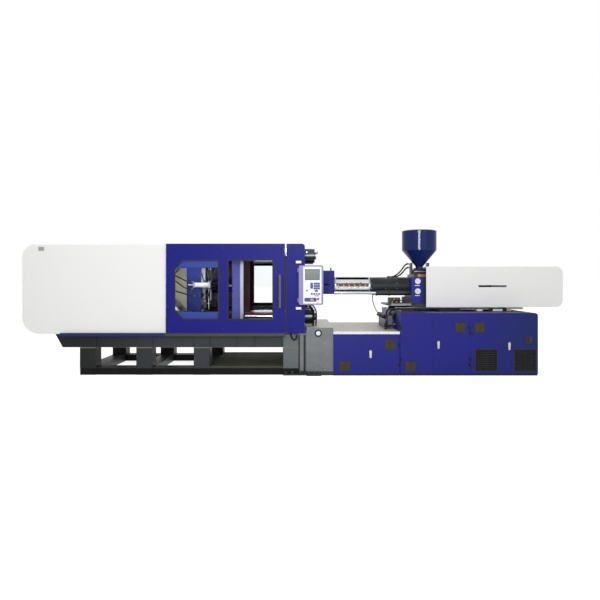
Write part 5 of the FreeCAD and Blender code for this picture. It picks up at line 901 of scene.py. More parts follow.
class MACHINE_OT_guard_trim(bpy.types.Operator):
    """Gaskets round the windows, and the screws, seal, rails and plates of the guards"""

    bl_idname = "machine.guard_trim"
    bl_label = "Guard trim"

    # left, right, lowest, highest
    LEFT_WINDOW = (-1.86, -1.19, 0.833, 1.73)
    RIGHT_WINDOW = (-1.064, -0.381, 0.833, 1.73)
    FAR_WINDOW = (-0.833, -0.42, 1.0, 1.7)
    CHAMFER = 0.127
    PANEL_FACE = -0.95

    def outline(self, window, chamfer=0.0):
        """Corners of a window, anticlockwise from its lower right, with its left corners cut off."""
        left, right, low, high = window
        if not chamfer:
            return [(right, low), (right, high), (left, high), (left, low)]
        return [(right, low), (right, high), (left + chamfer, high), (left, high - chamfer),
                (left, low + chamfer), (left + chamfer, low)]

    def execute(self, context):
        trim = context.scene.machine_trim
        near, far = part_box("operator_door")[0][1] + 0.044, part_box("rear_door")[1][1]
        corners = self.outline(self.LEFT_WINDOW, self.CHAMFER), self.outline(self.RIGHT_WINDOW)
        strips = [outline_strip(ring, trim.gasket_width, near - 0.0012, near + 0.03) for ring in corners]
        piece("near_gaskets", strips, rubber(), "operator_door")
        strip = outline_strip(self.outline(self.FAR_WINDOW), trim.gasket_width, far + 0.0012, far - 0.03)
        piece("far_gasket", [strip], rubber(), "rear_door")
        self.add_screws(context.scene.machine_paints, trim, near)
        self.add_seal()
        self.add_rails(near)
        self.add_plates()
        return {"FINISHED"}

    def add_screws(self, paint, trim, face):
        """Painted button screws that hold the side panel and the door's two posts."""
        blue = finish("guard_screw", painted, paint.guard_blue, rough=0.34)
        head = cap_screw((0, 0, 0), trim.screw_radius, trim.screw_height, FRONT)
        post = [(x, face, z) for x in (-1.945, -1.127, -0.345) for z in (0.7, 1.02, 1.54, 1.9)]
        piece("door_screws", [repeated(head, post)], blue, "operator_door")
        spots = [(x, self.PANEL_FACE, z) for x in (-0.162, 0.066) for z in (0.68, 0.9, 1.75, 1.93)]
        piece("panel_screws", [repeated(head, spots)], blue, "base")

    def add_seal(self):
        """Rubber seal on the side panel's edge, where the guard closes."""
        face = self.PANEL_FACE
        seal = block((-0.2075, face - 0.001, 0.66), (-0.184, face + 0.025, 1.755), 0.002)
        piece("closing_seal", [seal], rubber(), "base")

    def add_rails(self, face):
        """Inner rails of the left window, set back in its opening before the pane."""
        left, right, low, high = self.LEFT_WINDOW
        rails = [block((left, face + 0.03, level), (right, face + 0.0445, level + 0.117), 0.001)
                 for level in (low, high - 0.117)]
        piece("window_rails", rails, finish("rail_blue", painted, display(40, 60, 146), rough=0.42),
              "operator_door")

    def add_plates(self):
        """Two blank white plates on the side panel, above and below the control box."""
        face = self.PANEL_FACE
        plates = [block((-0.046, face - 0.0015, low), (0.034, face + 0.0005, low + 0.037), 0.001)
                  for low in (0.987, 1.6755)]
        white = finish("plate_white", painted, display(240, 240, 240), rough=0.4)
        piece("panel_plates", plates, white, "base")


class MACHINE_OT_cover_trim(bpy.types.Operator):
    """Louvre, lifting lips and screws of the clamp cover and the injection cover"""

    bl_idname = "machine.cover_trim"
    bl_label = "Cover trim"

    CLAMP_FACE = -0.9
    INJECTION_FACE = -0.48

    def execute(self, context):
        trim = context.scene.machine_trim
        paint = context.scene.machine_paints
        grey = finish("louvre_grey", painted, display(150, 152, 158), rough=0.4)
        slats = [slab((-3.862, self.CLAMP_FACE, 1.869 + 0.0125 * i), 0.086, 0.0085, 0.006, radius=0.003)
                 for i in range(5)]
        piece("cover_louvre", slats, grey, "base")
        lips = [block((x, y, 1.9565), (x + 0.05, y + 0.1, 1.964)) for x in (-3.74, -3.59)
                for y in (-0.62, 0.5)]
        piece("cover_lips", lips, finish("cover_lip", painted, display(214, 214, 212), rough=0.4), "base")
        white_screw = finish("white_screw", painted, paint.cover_white, rough=0.35)
        head = cap_screw((0, 0, 0), trim.screw_radius * 0.8, trim.screw_height, FRONT)
        spots = [(x, self.CLAMP_FACE, 0.885) for x in np.linspace(-3.85, -2.15, 6)]
        piece("cover_screws", [repeated(head, spots)], white_screw, "base")
        spots = [(x, self.INJECTION_FACE, z) for x in np.linspace(2.06, 3.98, 6) for z in (1.03, 1.5)]
        piece("injection_cover_screws", [repeated(head, spots)], white_screw, "carriage")
        return {"FINISHED"}


# ---------------------------------------------------------------- clamp unit


class MACHINE_OT_clamp_plumbing(bpy.types.Operator):
    """White cylinder, hoses, pipes and junction boxes that ride on the moving platen"""

    bl_idname = "machine.clamp_plumbing"
    bl_label = "Clamp plumbing"

    SIDE = -0.6
    FLANGE = -0.579

    def execute(self, context):
        self.add_cylinder()
        self.add_hoses()
        self.add_ribs()
        return {"FINISHED"}

    def add_cylinder(self):
        """Core-pull cylinder on the platen's side, with its end blocks."""
        white = finish("cylinder_white", painted, display(232, 234, 236), rough=0.3)
        y, z = self.SIDE - 0.02, 1.35
        barrel = turned([(0.0, 0.03), (0.012, 0.036), (0.21, 0.036), (0.222, 0.03)], (-1.61, y, z), RIGHT)
        piece("core_cylinder", [barrel], white, "moving_platen")
        ends = [block((x, y - 0.04, z - 0.042), (x + 0.026, self.FLANGE, z + 0.042))
                for x in (-1.635, -1.394)]
        rod = turned([(0.0, 0.011), (0.075, 0.011)], (-1.71, y, z), RIGHT, 20)
        piece("core_cylinder_ends", [*ends, rod], bright_screw(), "moving_platen")

    def add_hoses(self):
        """Hoses that come out of the clamp cover, hang in shallow arcs and end on the platen's flange."""
        y = self.SIDE - 0.024
        runs = [
            [(-2.36, y, 1.7), (-2.1, y, 1.6), (-1.93, y - 0.004, 1.505), (-1.75, y, 1.415),
             (-1.7, y, 1.4), (-1.655, self.FLANGE, 1.4)],
            [(-2.36, y, 1.6), (-2.12, y, 1.5), (-1.93, y - 0.006, 1.43), (-1.77, y, 1.305),
             (-1.7, y, 1.29), (-1.66, self.FLANGE, 1.29)],
            [(-2.36, y, 1.42), (-2.12, y, 1.33), (-1.93, y, 1.26), (-1.74, y, 1.205), (-1.67, y, 1.18),
             (-1.62, self.FLANGE, 1.18)],
            [(-2.36, y, 1.07), (-2.1, y, 1.0), (-1.9, y, 0.94), (-1.74, y, 0.93), (-1.69, self.FLANGE, 0.93)],
        ]
        hoses = [hose(run, 0.0095, 0.09) for run in runs]
        piece("core_hoses", hoses, rubber(), "moving_platen")
        nuts = [turned([(0.0, 0.013), (0.03, 0.013)], run[-1], FRONT, 6) for run in runs]
        piece("core_hose_nuts", nuts, dull_nut(), "moving_platen")
        carrier = [block((-2.4, y - 0.02, 1.0), (-2.35, y + 0.012, 1.74)),
                   block((-2.37, y + 0.004, 1.726), (-1.7, y + 0.012, 1.76)),
                   block((-1.735, y + 0.002, 1.726), (-1.7, self.FLANGE, 1.76))]
        piece("hose_carrier", carrier, finish("carrier_black", painted, BLACK, rough=0.42),
              "moving_platen")

    def add_ribs(self):
        """Grease lines, ejector hoses and a junction box between the platen's flange and its face."""
        y = self.SIDE + 0.018
        pipes = []
        for x, low, high in ((-1.488, 0.86, 1.86), (-1.462, 0.95, 1.8), (-1.404, 0.9, 1.7),
                             (-1.372, 1.06, 1.86)):
            pipes.append(hose([(-1.519, y + 0.03, high), (x, y + 0.03, high), (x, y, high - 0.05),
                               (x, y, low + 0.05), (x, y + 0.03, low), (-1.519, y + 0.03, low)], 0.006, 0.02))
        piece("ejector_pipes", pipes, finish("pipe_zinc", bare, CHROME, rough=0.2), "moving_platen")
        dark = finish("junction_black", painted, display(24, 26, 30), rough=0.3, specular=0.5)
        boxes = [block((-1.519, y - 0.012, 1.28), (-1.36, y + 0.06, 1.345)),
                 block((-1.519, y - 0.006, 0.98), (-1.44, y + 0.06, 1.14)),
                 block((-1.41, y - 0.006, 1.42), (-1.345, y + 0.06, 1.58))]
        piece("ejector_junctions", boxes, dark, "moving_platen")
        plate = block((-1.5135, y - 0.014, 1.4), (-1.452, y + 0.05, 1.61))
        piece("limit_plate", [plate], finish("plate_zinc", bare, STEEL, rough=0.34), "moving_platen")
        glands = [disc(0.011, 0.03, (x, y - 0.012, z), FRONT, 20) for x, z in (
            (-1.49, 1.31), (-1.45, 1.31), (-1.41, 1.31), (-1.5, 1.01), (-1.46, 1.1))]
        piece("junction_glands", glands, bright_screw(), "moving_platen")
        loops = [hose([(-1.5, y - 0.03, z), (-1.5, y - 0.05, z - 0.03), (-1.47, y - 0.05, z - fall),
                       (-1.41, y - 0.045, z - fall), (-1.38, y - 0.03, z - 0.04), (-1.38, y + 0.01, z)],
                      0.007, 0.03) for z, fall in ((1.53, 0.13), (1.31, 0.16), (1.04, 0.12))]
        piece("ejector_loops", loops, rubber(), "moving_platen")


class MACHINE_OT_platen_fittings(bpy.types.Operator):
    """Grease lever, water taps, hose nuts, bolts and rings behind the fixed platen"""

    bl_idname = "machine.platen_fittings"
    bl_label = "Platen fittings"

    def execute(self, context):
        paint = context.scene.machine_paints
        bright = bright_screw()
        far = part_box("tie_bars")[1][0]
        lever = [disc(0.008, 0.034, (far - 0.001, -0.41, 1.85), RIGHT, 16),
                 block((far + 0.02, -0.422, 1.842), (far + 0.028, -0.398, 1.89))]
        piece("grease_lever", lever, trim_black(), "base")
        taps = []
        for i, y in enumerate((-0.572, -0.538)):
            taps += [turned([(0.0, 0.012), (0.03, 0.012), (0.032, 0.017), (0.062, 0.017), (0.064, 0.01),
                             (0.085, 0.01)], (0.123, y, 1.062 - 0.03 * i), RIGHT, 24),
                     block((0.162, y - 0.006, 1.08 - 0.03 * i), (0.212, y + 0.006, 1.087 - 0.03 * i))]
        piece("water_taps", taps, bright, "base")
        ends = [turned([(0.0, 0.017), (0.022, 0.017), (0.024, 0.014), (0.034, 0.014)], spot, RIGHT, 6)
                for spot in ((0.124, -0.545, 1.055), (0.124, -0.574, 1.03), (0.124, -0.545, 1.018))]
        piece("hose_nuts", ends, brass(paint), "base")
        bolts = [hex_head((0.1135, y, z), 0.018, 0.014, RIGHT) for y in (-0.56, 0.56)
                 for z in (0.72, 1.2, 1.46, 1.86)]
        piece("platen_back_bolts", bolts, bright, "base")
        rings = [hoop(0.0585, 0.066, 0.006, (far - 0.002, y, z), RIGHT) for y in (-0.41, 0.41)
                 for z in (0.85, 1.81)]
        piece("tie_bar_rings", rings, bright, "base")
        return {"FINISHED"}


# ---------------------------------------------------------------- control box


class MACHINE_OT_control_face(bpy.types.Operator):
    """Screen, keys and switch rings on the operator's box"""

    bl_idname = "machine.control_face"
    bl_label = "Control face"

    PLANE = -1.045
    # middle x, middle z, width, height
    KEYS = [(0.187, 1.3425, 0.040, 0.088), (0.117, 1.272, 0.025, 0.021), (0.2555, 1.266, 0.046, 0.03)]
    KEYS += [(x, z, 0.029, 0.031) for x in (0.231, 0.262, 0.293) for z in (1.302, 1.3375, 1.373)]
    KEYS += [(x, 1.222, 0.028, 0.024) for x in (0.187, 0.224, 0.261, 0.298)]
    KEYS += [(x, 1.194, 0.028, 0.014) for x in (0.2425, 0.2795)]

    def execute(self, context):
        paint = context.scene.machine_paints
        depth = context.scene.machine_trim.key_depth
        blue = finish("key_blue", moulded, paint.key_blue, rough=0.34)
        border = [outline_strip([(0.306, 1.426), (0.306, 1.588), (0.087, 1.588), (0.087, 1.426)], 0.009,
                                self.PLANE - 0.0045, self.PLANE + 0.001)]
        piece("screen_border", border, blue, "control_box")
        piece("screen_glass", [slab((0.1965, self.PLANE - 0.003, 1.507), 0.2, 0.143, 0.0012, radius=0.002,
                                    edge=0.0005)],
              self.screen(paint), "control_box")
        keys = [slab((x, self.PLANE + 0.0005, z), wide, tall, depth, radius=0.004, edge=0.001)
                for x, z, wide, tall in self.KEYS]
        piece("keys", keys, blue, "control_box")
        band = slab((0.169, self.PLANE + 0.0005, 1.1365), 0.18, 0.058, 0.0018, radius=0.02, edge=0.0008)
        piece("button_band", [band], blue, "control_box")
        rings = [hoop(0.0155, 0.0185, 0.0045, (0.193, self.PLANE + 0.0005, 1.134), FRONT),
                 hoop(0.0195, 0.0235, 0.004, (0.282, self.PLANE + 0.0005, 1.148), FRONT)]
        piece("switch_rings", rings, bright_screw(), "control_box")
        head = cap_screw((0, 0, 0), 0.0045, 0.0025, FRONT)
        spots = [(x, -1.05, z) for x in (0.03, 0.345) for z in (1.1, 1.352, 1.6)]
        piece("box_screws", [repeated(head, spots)], bright_screw(), "control_box")
        pointer = block((0.279, -1.0633, 1.09), (0.285, -1.0615, 1.112), 0.0008)
        piece("selector_pointer", [pointer], trim_black(), "mode_selector_knob")
        return {"FINISHED"}

    def screen(self, paint):
        """Unlit display: rows of faint lines on a grey-green glass."""
        material, tree, shader = blank("display_glass", Roughness=0.12, Specular_IOR_Level=0.5)
        height = part_of(tree, object_place(tree), "Z")
        rows = calc(tree, "SINE", product(tree, height, 330.0))
        tone = blend_colours(tree, spread(tree, rows, 0.2, 0.9), opaque(paint.screen_grey),
                             opaque(display(96, 106, 100)))
        tree.links.new(tone, shader.inputs["Base Color"])
        return material


# ---------------------------------------------------------------- injection unit


class MACHINE_OT_barrel_trim(bpy.types.Operator):
    """Heater terminals, lead wires, clamp bands and screws on the barrel covers"""

    bl_idname = "machine.barrel_trim"
    bl_label = "Barrel trim"

    AXIS = 1.33
    RADIUS = 0.143

    def execute(self, context):
        trim = context.scene.machine_trim
        self.add_terminals()
        bright = bright_screw()
        centre = (1.138, 0.0, self.AXIS)
        bands = [hoop(self.RADIUS, self.RADIUS + 0.003, 0.026, centre, RIGHT),
                 hoop(self.RADIUS, self.RADIUS + 0.003, 0.018, (0.588, 0.0, self.AXIS), RIGHT)]
        piece("cover_bands", bands, bright, "carriage")
        seams = [hoop(self.RADIUS, self.RADIUS + 0.0015, 0.004, (x, 0, self.AXIS), RIGHT)
                 for x in (1.21, 1.4, 1.62)]
        piece("cover_seams", seams, trim_black(), "carriage")
        screws = []
        for angle in (18, 58, 122, 162, -20, -58):
            out = np.array([0.0, -math.cos(math.radians(angle)), math.sin(math.radians(angle))])
            head = cap_screw((0, 0, 0), trim.screw_radius * 0.6, trim.screw_height * 0.6, out)
            base = np.array([0.0, 0.0, self.AXIS]) + out * self.RADIUS
            spots = [base + np.array([x, 0, 0]) for x in (0.63, 0.87, 1.11, 1.19, 1.42, 1.6, 1.78)]
            screws.append(repeated(head, spots))
        piece("cover_screws_round", screws, bright, "carriage")
        return {"FINISHED"}

    def add_plugs(self, y):
        """Coloured thermocouple plugs over and under the terminal row."""
        for name, shade, spots in (
                ("plugs_red", display(226, 84, 52), ((0.763, 1.372), (0.781, 1.306))),
                ("plugs_yellow", display(222, 178, 40), ((0.63, 1.306), (0.66, 1.306), (0.852, 1.306))),
                ("plugs_green", display(126, 160, 84), ((0.848, 1.372), (0.936, 1.372))),
                ("plugs_teal", display(62, 112, 112), ((0.993, 1.372), (0.96, 1.306)))):
            plugs = [block((x, y - 0.01, z), (x + 0.024, y + 0.014, z + 0.016)) for x, z in spots]
            piece(name, plugs, finish(name[:-1] + "_moulding", moulded, shade, rough=0.4), "carriage")

    def add_terminals(self):
        """Ceramic terminal blocks in a row along the cover's front, with their leads."""
        y = -self.RADIUS - 0.002
        cream = finish("terminal_ceramic", moulded, display(206, 186, 148), rough=0.5)
        brown = finish("terminal_brown", moulded, display(112, 52, 36), rough=0.42)
        steps = np.arange(0.628, 1.1, 0.0445)
        blocks = [block((x, y - 0.016, 1.328), (x + 0.022, y + 0.01, 1.352)) for x in steps]
        piece("heater_terminals", blocks[::2], cream, "carriage")
        piece("heater_terminals_brown", blocks[1::2], brown, "carriage")
        self.add_plugs(y)
        tray = block((0.61, y - 0.003, 1.322), (1.115, y + 0.02, 1.3265), 0.001)
        piece("terminal_tray", [tray], bright_screw(), "carriage")
        for name, shade, lift, phase in (("leads_red", display(168, 36, 28), 0.352, 0.0),
                                         ("leads_dark", display(54, 40, 36), 0.345, 1.7),
                                         ("leads_pale", display(206, 198, 180), 0.31, 3.1)):
            x = np.linspace(0.615, 1.13, 46)
            sway = 0.006 * np.sin(x * 61 + phase) + 0.003 * np.sin(x * 143 + phase)
            path = np.stack([x, np.full_like(x, y - 0.011) + 0.004 * np.cos(x * 77 + phase),
                             1.0 + lift + sway], axis=1)
            piece(name, [swept(path, 0.0028, 8)], finish(name + "_sleeve", moulded, shade, rough=0.4),
                  "carriage")


class MACHINE_OT_throat_trim(bpy.types.Operator):
    """Gauges, bolts of the brass flange, switch-box glands and cable plugs round the feed throat"""

    bl_idname = "machine.throat_trim"
    bl_label = "Throat trim"

    # x, z
    GAUGES = ((1.9, 1.408), (1.9, 1.247))
    FACE = -0.33
    # share of the cable's span, share of its rise
    CABLE_BEND = ((0.1, 0.0), (0.17, 0.0), (0.38, 0.18), (0.56, 0.45), (0.7, 0.77), (0.83, 0.94),
                  (0.92, 0.94))
    GLANDS = ((1.475, 1.115), (1.53, 1.115), (1.585, 1.115), (1.5, 1.075), (1.56, 1.075))

    def execute(self, context):
        paint = context.scene.machine_paints
        self.add_gauges()
        self.add_plugs()
        self.add_shelf_parts(paint)
        return {"FINISHED"}

    def add_gauges(self):
        """Dial, rim, needle and ticks of both gauges, each over a blank plate."""
        white = finish("dial_white", moulded, display(240, 240, 238), rough=0.3, coat=0.3)
        dials = [disc(0.0425, 0.0015, (x, self.FACE + 0.0002, z), FRONT, 48) for x, z in self.GAUGES]
        plates = [slab((x, self.FACE + 0.031, z - 0.069), 0.08, 0.013, 0.002, radius=0.003)
                  for x, z in self.GAUGES]
        piece("gauge_dials", [*dials, *plates], white, "carriage")
        rims = [hoop(0.0425, 0.0465, 0.004, (x, self.FACE + 0.0015, z), FRONT) for x, z in self.GAUGES]
        piece("gauge_rims", rims, bright_screw(), "carriage")
        marks = []
        for x, z in self.GAUGES:
            for angle in np.radians(np.arange(-45, 226, 27)):
                out = np.array([math.cos(angle), 0, math.sin(angle)])
                start = np.array([x, self.FACE - 0.0016, z]) + out * 0.031
                marks.append(swept([start, start + out * 0.008], 0.0009, 6))
            tip = np.array([x - 0.017, self.FACE - 0.003, z + 0.02])
            marks.append(swept([(x, self.FACE - 0.003, z), tip], 0.0012, 6))
            marks.append(disc(0.0045, 0.003, (x, self.FACE - 0.001, z), FRONT, 16))
        piece("gauge_marks", marks, trim_black(), "carriage")

    def add_plugs(self):
        """Pale plug where the upper cable meets the hopper's cheek, and the throat's flange bolts."""
        pale = finish("plug_grey", moulded, display(196, 198, 196), rough=0.4)
        end, _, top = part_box("hopper_cables")[1]
        plug = turned([(0.0, 0.009), (0.004, 0.012), (0.03, 0.0125), (0.034, 0.0155), (0.046, 0.0155)],
                      (end - 0.048, -0.016, top - 0.007), RIGHT, 24)
        piece("cable_plugs", [plug], pale, "carriage")
        self.add_conduits()
        bolts = [hex_head((1.99 + 0.1 * math.cos(a), 0.1 * math.sin(a), 1.6195), 0.008, 0.007, UP)
                 for a in np.radians(np.arange(30, 390, 60))]
        piece("throat_bolts", bolts, bright_screw(), "carriage")

    def add_conduits(self):
        """Ribbed conduits round the middle of both cables, r(s) = r0 + rib * sin(turns * s)."""
        conduits = []
        for y, start, rise in ((-0.016, 1.5, 0.2277), (0.02, 1.575, 0.1616)):
            span, low = 1.84 - start, 1.482
            path = rounded_path([(start + span * along, y, low + rise * height)
                                 for along, height in self.CABLE_BEND], 0.05)
            run = np.concatenate([[0.0], np.cumsum(np.linalg.norm(np.diff(path, axis=0), axis=1))])
            even = np.linspace(0, run[-1], 150)
            path = np.stack([np.interp(even, run, path[:, axis]) for axis in range(3)], axis=1)
            conduits.append(swept(path, 0.0118 + 0.0014 * np.sin(even * 1100), 14))
        piece("cable_conduits", conduits, rubber(), "carriage")

    def add_shelf_parts(self, paint):
        """Glands, connectors and short leads of the switch box on the front shelf."""
        y = -0.28
        glands = [turned([(0.0, 0.012), (0.016, 0.012), (0.018, 0.009), (0.034, 0.009)], (x, y, z),
                         FRONT, 20) for x, z in self.GLANDS]
        piece("switch_glands", glands[::2], brass(paint), "carriage")
        piece("switch_glands_pale", glands[1::2], finish("gland_cream", moulded, display(222, 206, 160)),
              "carriage")
        leads = [hose([(x, y - 0.03, z), (x, y - 0.05, z), (x + 0.04, y - 0.055, z - 0.02),
                       (1.7, y - 0.02, z - 0.012), (1.8, -0.22, 1.1)], 0.006, 0.03)
                 for x, z in self.GLANDS[:4]]
        piece("switch_leads", leads, rubber(), "carriage")
        flange = [hoop(0.0425, 0.052, 0.014, (x, side * 0.15, 1.218), RIGHT) for x in (1.25, 1.46)
                  for side in (-1, 1)]
        piece("pull_cylinder_collars", flange, finish("collar_black", painted, BLACK, rough=0.3),
              "carriage")
        valve = block((1.66, -0.3, 1.052), (1.79, -0.2, 1.16))
        piece("carriage_valve", [valve], finish("valve_dark", painted, display(38, 40, 46), rough=0.3),
              "carriage")


# ---------------------------------------------------------------- base, cabinets and hydraulics


class MACHINE_OT_cabinet_trim(bpy.types.Operator):
    """Vent frames, olive filter mats, handle roses and the mains switch's plate"""

    bl_idname = "machine.cabinet_trim"
    bl_label = "Cabinet trim"

    FACE = -0.95
    VENT_EDGE = 0.008
    BIG_VENT = 0.2
    # body, left edge, lower edge, side of the square
    VENTS = (("base", 0.614, 0.076, 0.138), ("low_cabinet_door", 1.292, 0.399, 0.138),
             ("tall_cabinet_door_left", 1.594, 0.073, 0.138),
             ("tall_cabinet_door_middle", 2.336, 0.655, 0.138),
             ("tall_cabinet_door_right", 2.628, 0.652, 0.138),
             ("tall_cabinet_door_right", 2.628, 0.073, 0.32), ("base", 3.208, 0.073, 0.32))
    # body, x, z
    HANDLES = (("low_cabinet_door", 1.064, 0.3255), ("tall_cabinet_door_middle", 2.074, 0.4625),
               ("tall_cabinet_door_right", 3.128, 0.4435))

    def execute(self, context):
        mat = self.filter_mat()
        for number, (body, left, low, size) in enumerate(self.VENTS):
            middle, centre = left + size / 2, low + size / 2
            reach = size / 2 + self.VENT_EDGE
            frame_strip = outline_strip(
                [(middle + reach, centre - reach), (middle + reach, centre + reach),
                 (middle - reach, centre + reach), (middle - reach, centre - reach)],
                0.01, self.FACE - 0.003, self.FACE + 0.001)
            bar = block((middle - 0.003, self.FACE - 0.002, low),
                        (middle + 0.003, self.FACE + 0.001, low + size))
            piece(f"vent_frame_{number}", [frame_strip, bar], trim_black(), body)
            backing = block((left - 0.006, self.FACE + 0.0255, low - 0.006),
                            (left + size + 0.006, self.FACE + 0.0285, low + size + 0.006))
            piece(f"vent_mat_{number}", [backing], mat if size < self.BIG_VENT else trim_black(), body)
        for number, (body, x, z) in enumerate(self.HANDLES):
            rose = slab((x, self.FACE + 0.0005, z), 0.046, 0.14, 0.0035, radius=0.012)
            piece(f"handle_rose_{number}", [rose], trim_black(), body)
        low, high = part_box("main_switch")
        x, z = (low[0] + high[0]) / 2, (low[2] + high[2]) / 2
        plate = slab((x, self.FACE + 0.0005, z), 0.104, 0.104, 0.004, radius=0.01)
        piece("switch_plate", [plate], trim_black(), "base")
        return {"FINISHED"}

    def filter_mat(self):
        """Olive filter fleece with darker pores."""
        material, tree, shader = blank("filter_fleece", Roughness=0.95, Specular_IOR_Level=0.1)
        pores = spread(tree, noise(tree, object_place(tree), 95.0, 3.0, 0.7), 0.4, 0.62)
        tone = blend_colours(tree, pores, opaque(display(44, 40, 26)), opaque(display(122, 114, 78)))
        tree.links.new(tone, shader.inputs["Base Color"])
        return material


class MACHINE_OT_base_trim(bpy.types.Operator):
    """Lifting plug, joint bolts and weld beads of the two bases"""

    bl_idname = "machine.base_trim"
    bl_label = "Base trim"

    PORT = (0.288, -0.942, 0.633)
    LEG_FACE = -0.8705

    def execute(self, context):
        port = np.array(self.PORT)
        bright = bright_screw()
        plugs = [disc(0.0335, 0.014, port + [0, 0.008, 0], FRONT, 40),
                 hex_head(port + [0, -0.0055, 0], 0.012, 0.006, FRONT)]
        piece("lifting_plug", plugs, bright, "base")
        piece("lifting_ring", [hoop(0.035, 0.0545, 0.004, port + [0, 0.0005, 0], FRONT)],
              finish("ring_black", painted, BLACK, rough=0.4), "base")
        heads = [hex_head((0.04, self.LEG_FACE + 0.0005, z), 0.012, 0.012, FRONT)
                 for z in (0.12, 0.3, 0.48)]
        piece("joint_bolts", heads, dull_nut(), "base")
        self.add_seams()
        return {"FINISHED"}

    def add_seams(self):
        """Weld beads down the sides of the legs and along the beam's plates."""
        legs = (-3.292, -3.056, -2.444, -2.208, -1.58, -1.344, -0.24, -0.004)
        runs = [(x, *span) for x in legs for span in ((0.11, 0.41), (0.418, 0.6))]
        runs += [(x, 0.418, 0.603) for x in (-0.925, -0.666)]
        beads = []
        for x, low, high in runs:
            z = np.linspace(low, high, 64)
            path = np.stack([np.full_like(z, x), np.full_like(z, self.LEG_FACE), z], axis=1)
            beads.append(swept(path, 0.0035 + 0.0009 * np.sin(z * 900), 8))
        weld = finish("weld_paint", painted, display(22, 24, 24), rough=0.5)
        piece("weld_beads", beads, weld, "base")


class MACHINE_OT_hydraulics(bpy.types.Operator):
    """Hoses, valve coils and fittings on the valve block, and a cable duct beside it"""

    bl_idname = "machine.hydraulics"
    bl_label = "Hydraulics"

    VALVE_TOP = 0.808

    def execute(self, context):
        low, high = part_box("hydraulic_manifold")
        top = self.VALVE_TOP
        coils, plugs, bolts = [], [], []
        for y in (-0.33, -0.19, -0.05, 0.09, 0.23):
            coils.append(turned([(0.0, 0.022), (0.003, 0.024), (0.052, 0.024), (0.056, 0.02), (0.07, 0.009)],
                                (low[0] + 0.03, y + 0.035, top + 0.032), (-1, 0, 0), 28))
            plugs.append(block((low[0] - 0.02, y + 0.02, top + 0.056),
                               (low[0] + 0.022, y + 0.05, top + 0.08)))
            bolts += [cap_screw((low[0] + 0.05 + dx, y + dy, high[2]), 0.006, 0.005, UP)
                      for dx in (0.0, 0.045) for dy in (0.014, 0.056)]
        piece("valve_coils", coils, finish("coil_black", moulded, display(26, 27, 29), rough=0.35), "base")
        piece("valve_plugs", plugs, finish("plug_smoke", moulded, display(90, 92, 96), rough=0.3), "base")
        piece("valve_bolts", bolts, bright_screw(), "base")
        self.add_hoses()
        duct = block((1.404, -0.4385, 0.676), (1.474, -0.4205, 0.864), 0.006)
        piece("cable_duct", [duct], finish("duct_lavender", painted, display(100, 100, 120), rough=0.42),
              "base")
        return {"FINISHED"}

    def add_hoses(self):
        """Pressure hoses from the block's near side down to the bed plate and back into the cabinet."""
        side = -0.4215
        runs = [
            [(1.378, side, 0.79), (1.378, -0.5, 0.79), (1.34, -0.56, 0.74), (1.33, -0.58, 0.659)],
            [(1.378, side, 0.74), (1.378, -0.47, 0.74), (1.365, -0.53, 0.705), (1.36, -0.545, 0.659)],
            [(1.39, side, 0.7), (1.39, -0.46, 0.7), (1.44, -0.5, 0.71), (1.5085, -0.52, 0.74)],
            [(1.488, side, 0.8), (1.488, -0.47, 0.81), (1.488, -0.5, 0.85), (1.495, -0.52, 0.9),
             (1.5085, -0.56, 0.905)],
            [(1.44, -0.37, 0.8705), (1.44, -0.4, 0.92), (1.47, -0.44, 0.955), (1.53, -0.45, 0.955),
             (1.56, -0.45, 0.9355)],
            [(1.39, -0.37, 0.8705), (1.39, -0.41, 0.94), (1.43, -0.47, 0.975), (1.54, -0.485, 0.972),
             (1.6, -0.485, 0.9355)],
        ]
        hoses = [hose(run, 0.0125, 0.05, 14) for run in runs]
        piece("pressure_hoses", hoses, rubber(), "base")
        nuts = []
        for run in runs:
            for end, inner in ((run[0], run[1]), (run[-1], run[-2])):
                way = np.array(inner, float) - np.array(end, float)
                nuts.append(turned([(0.0, 0.017), (0.02, 0.017), (0.021, 0.0145), (0.036, 0.014)], end,
                                   way / np.linalg.norm(way), 6))
        piece("pressure_nuts", nuts, dull_nut(), "base")


# ---------------------------------------------------------------- stage


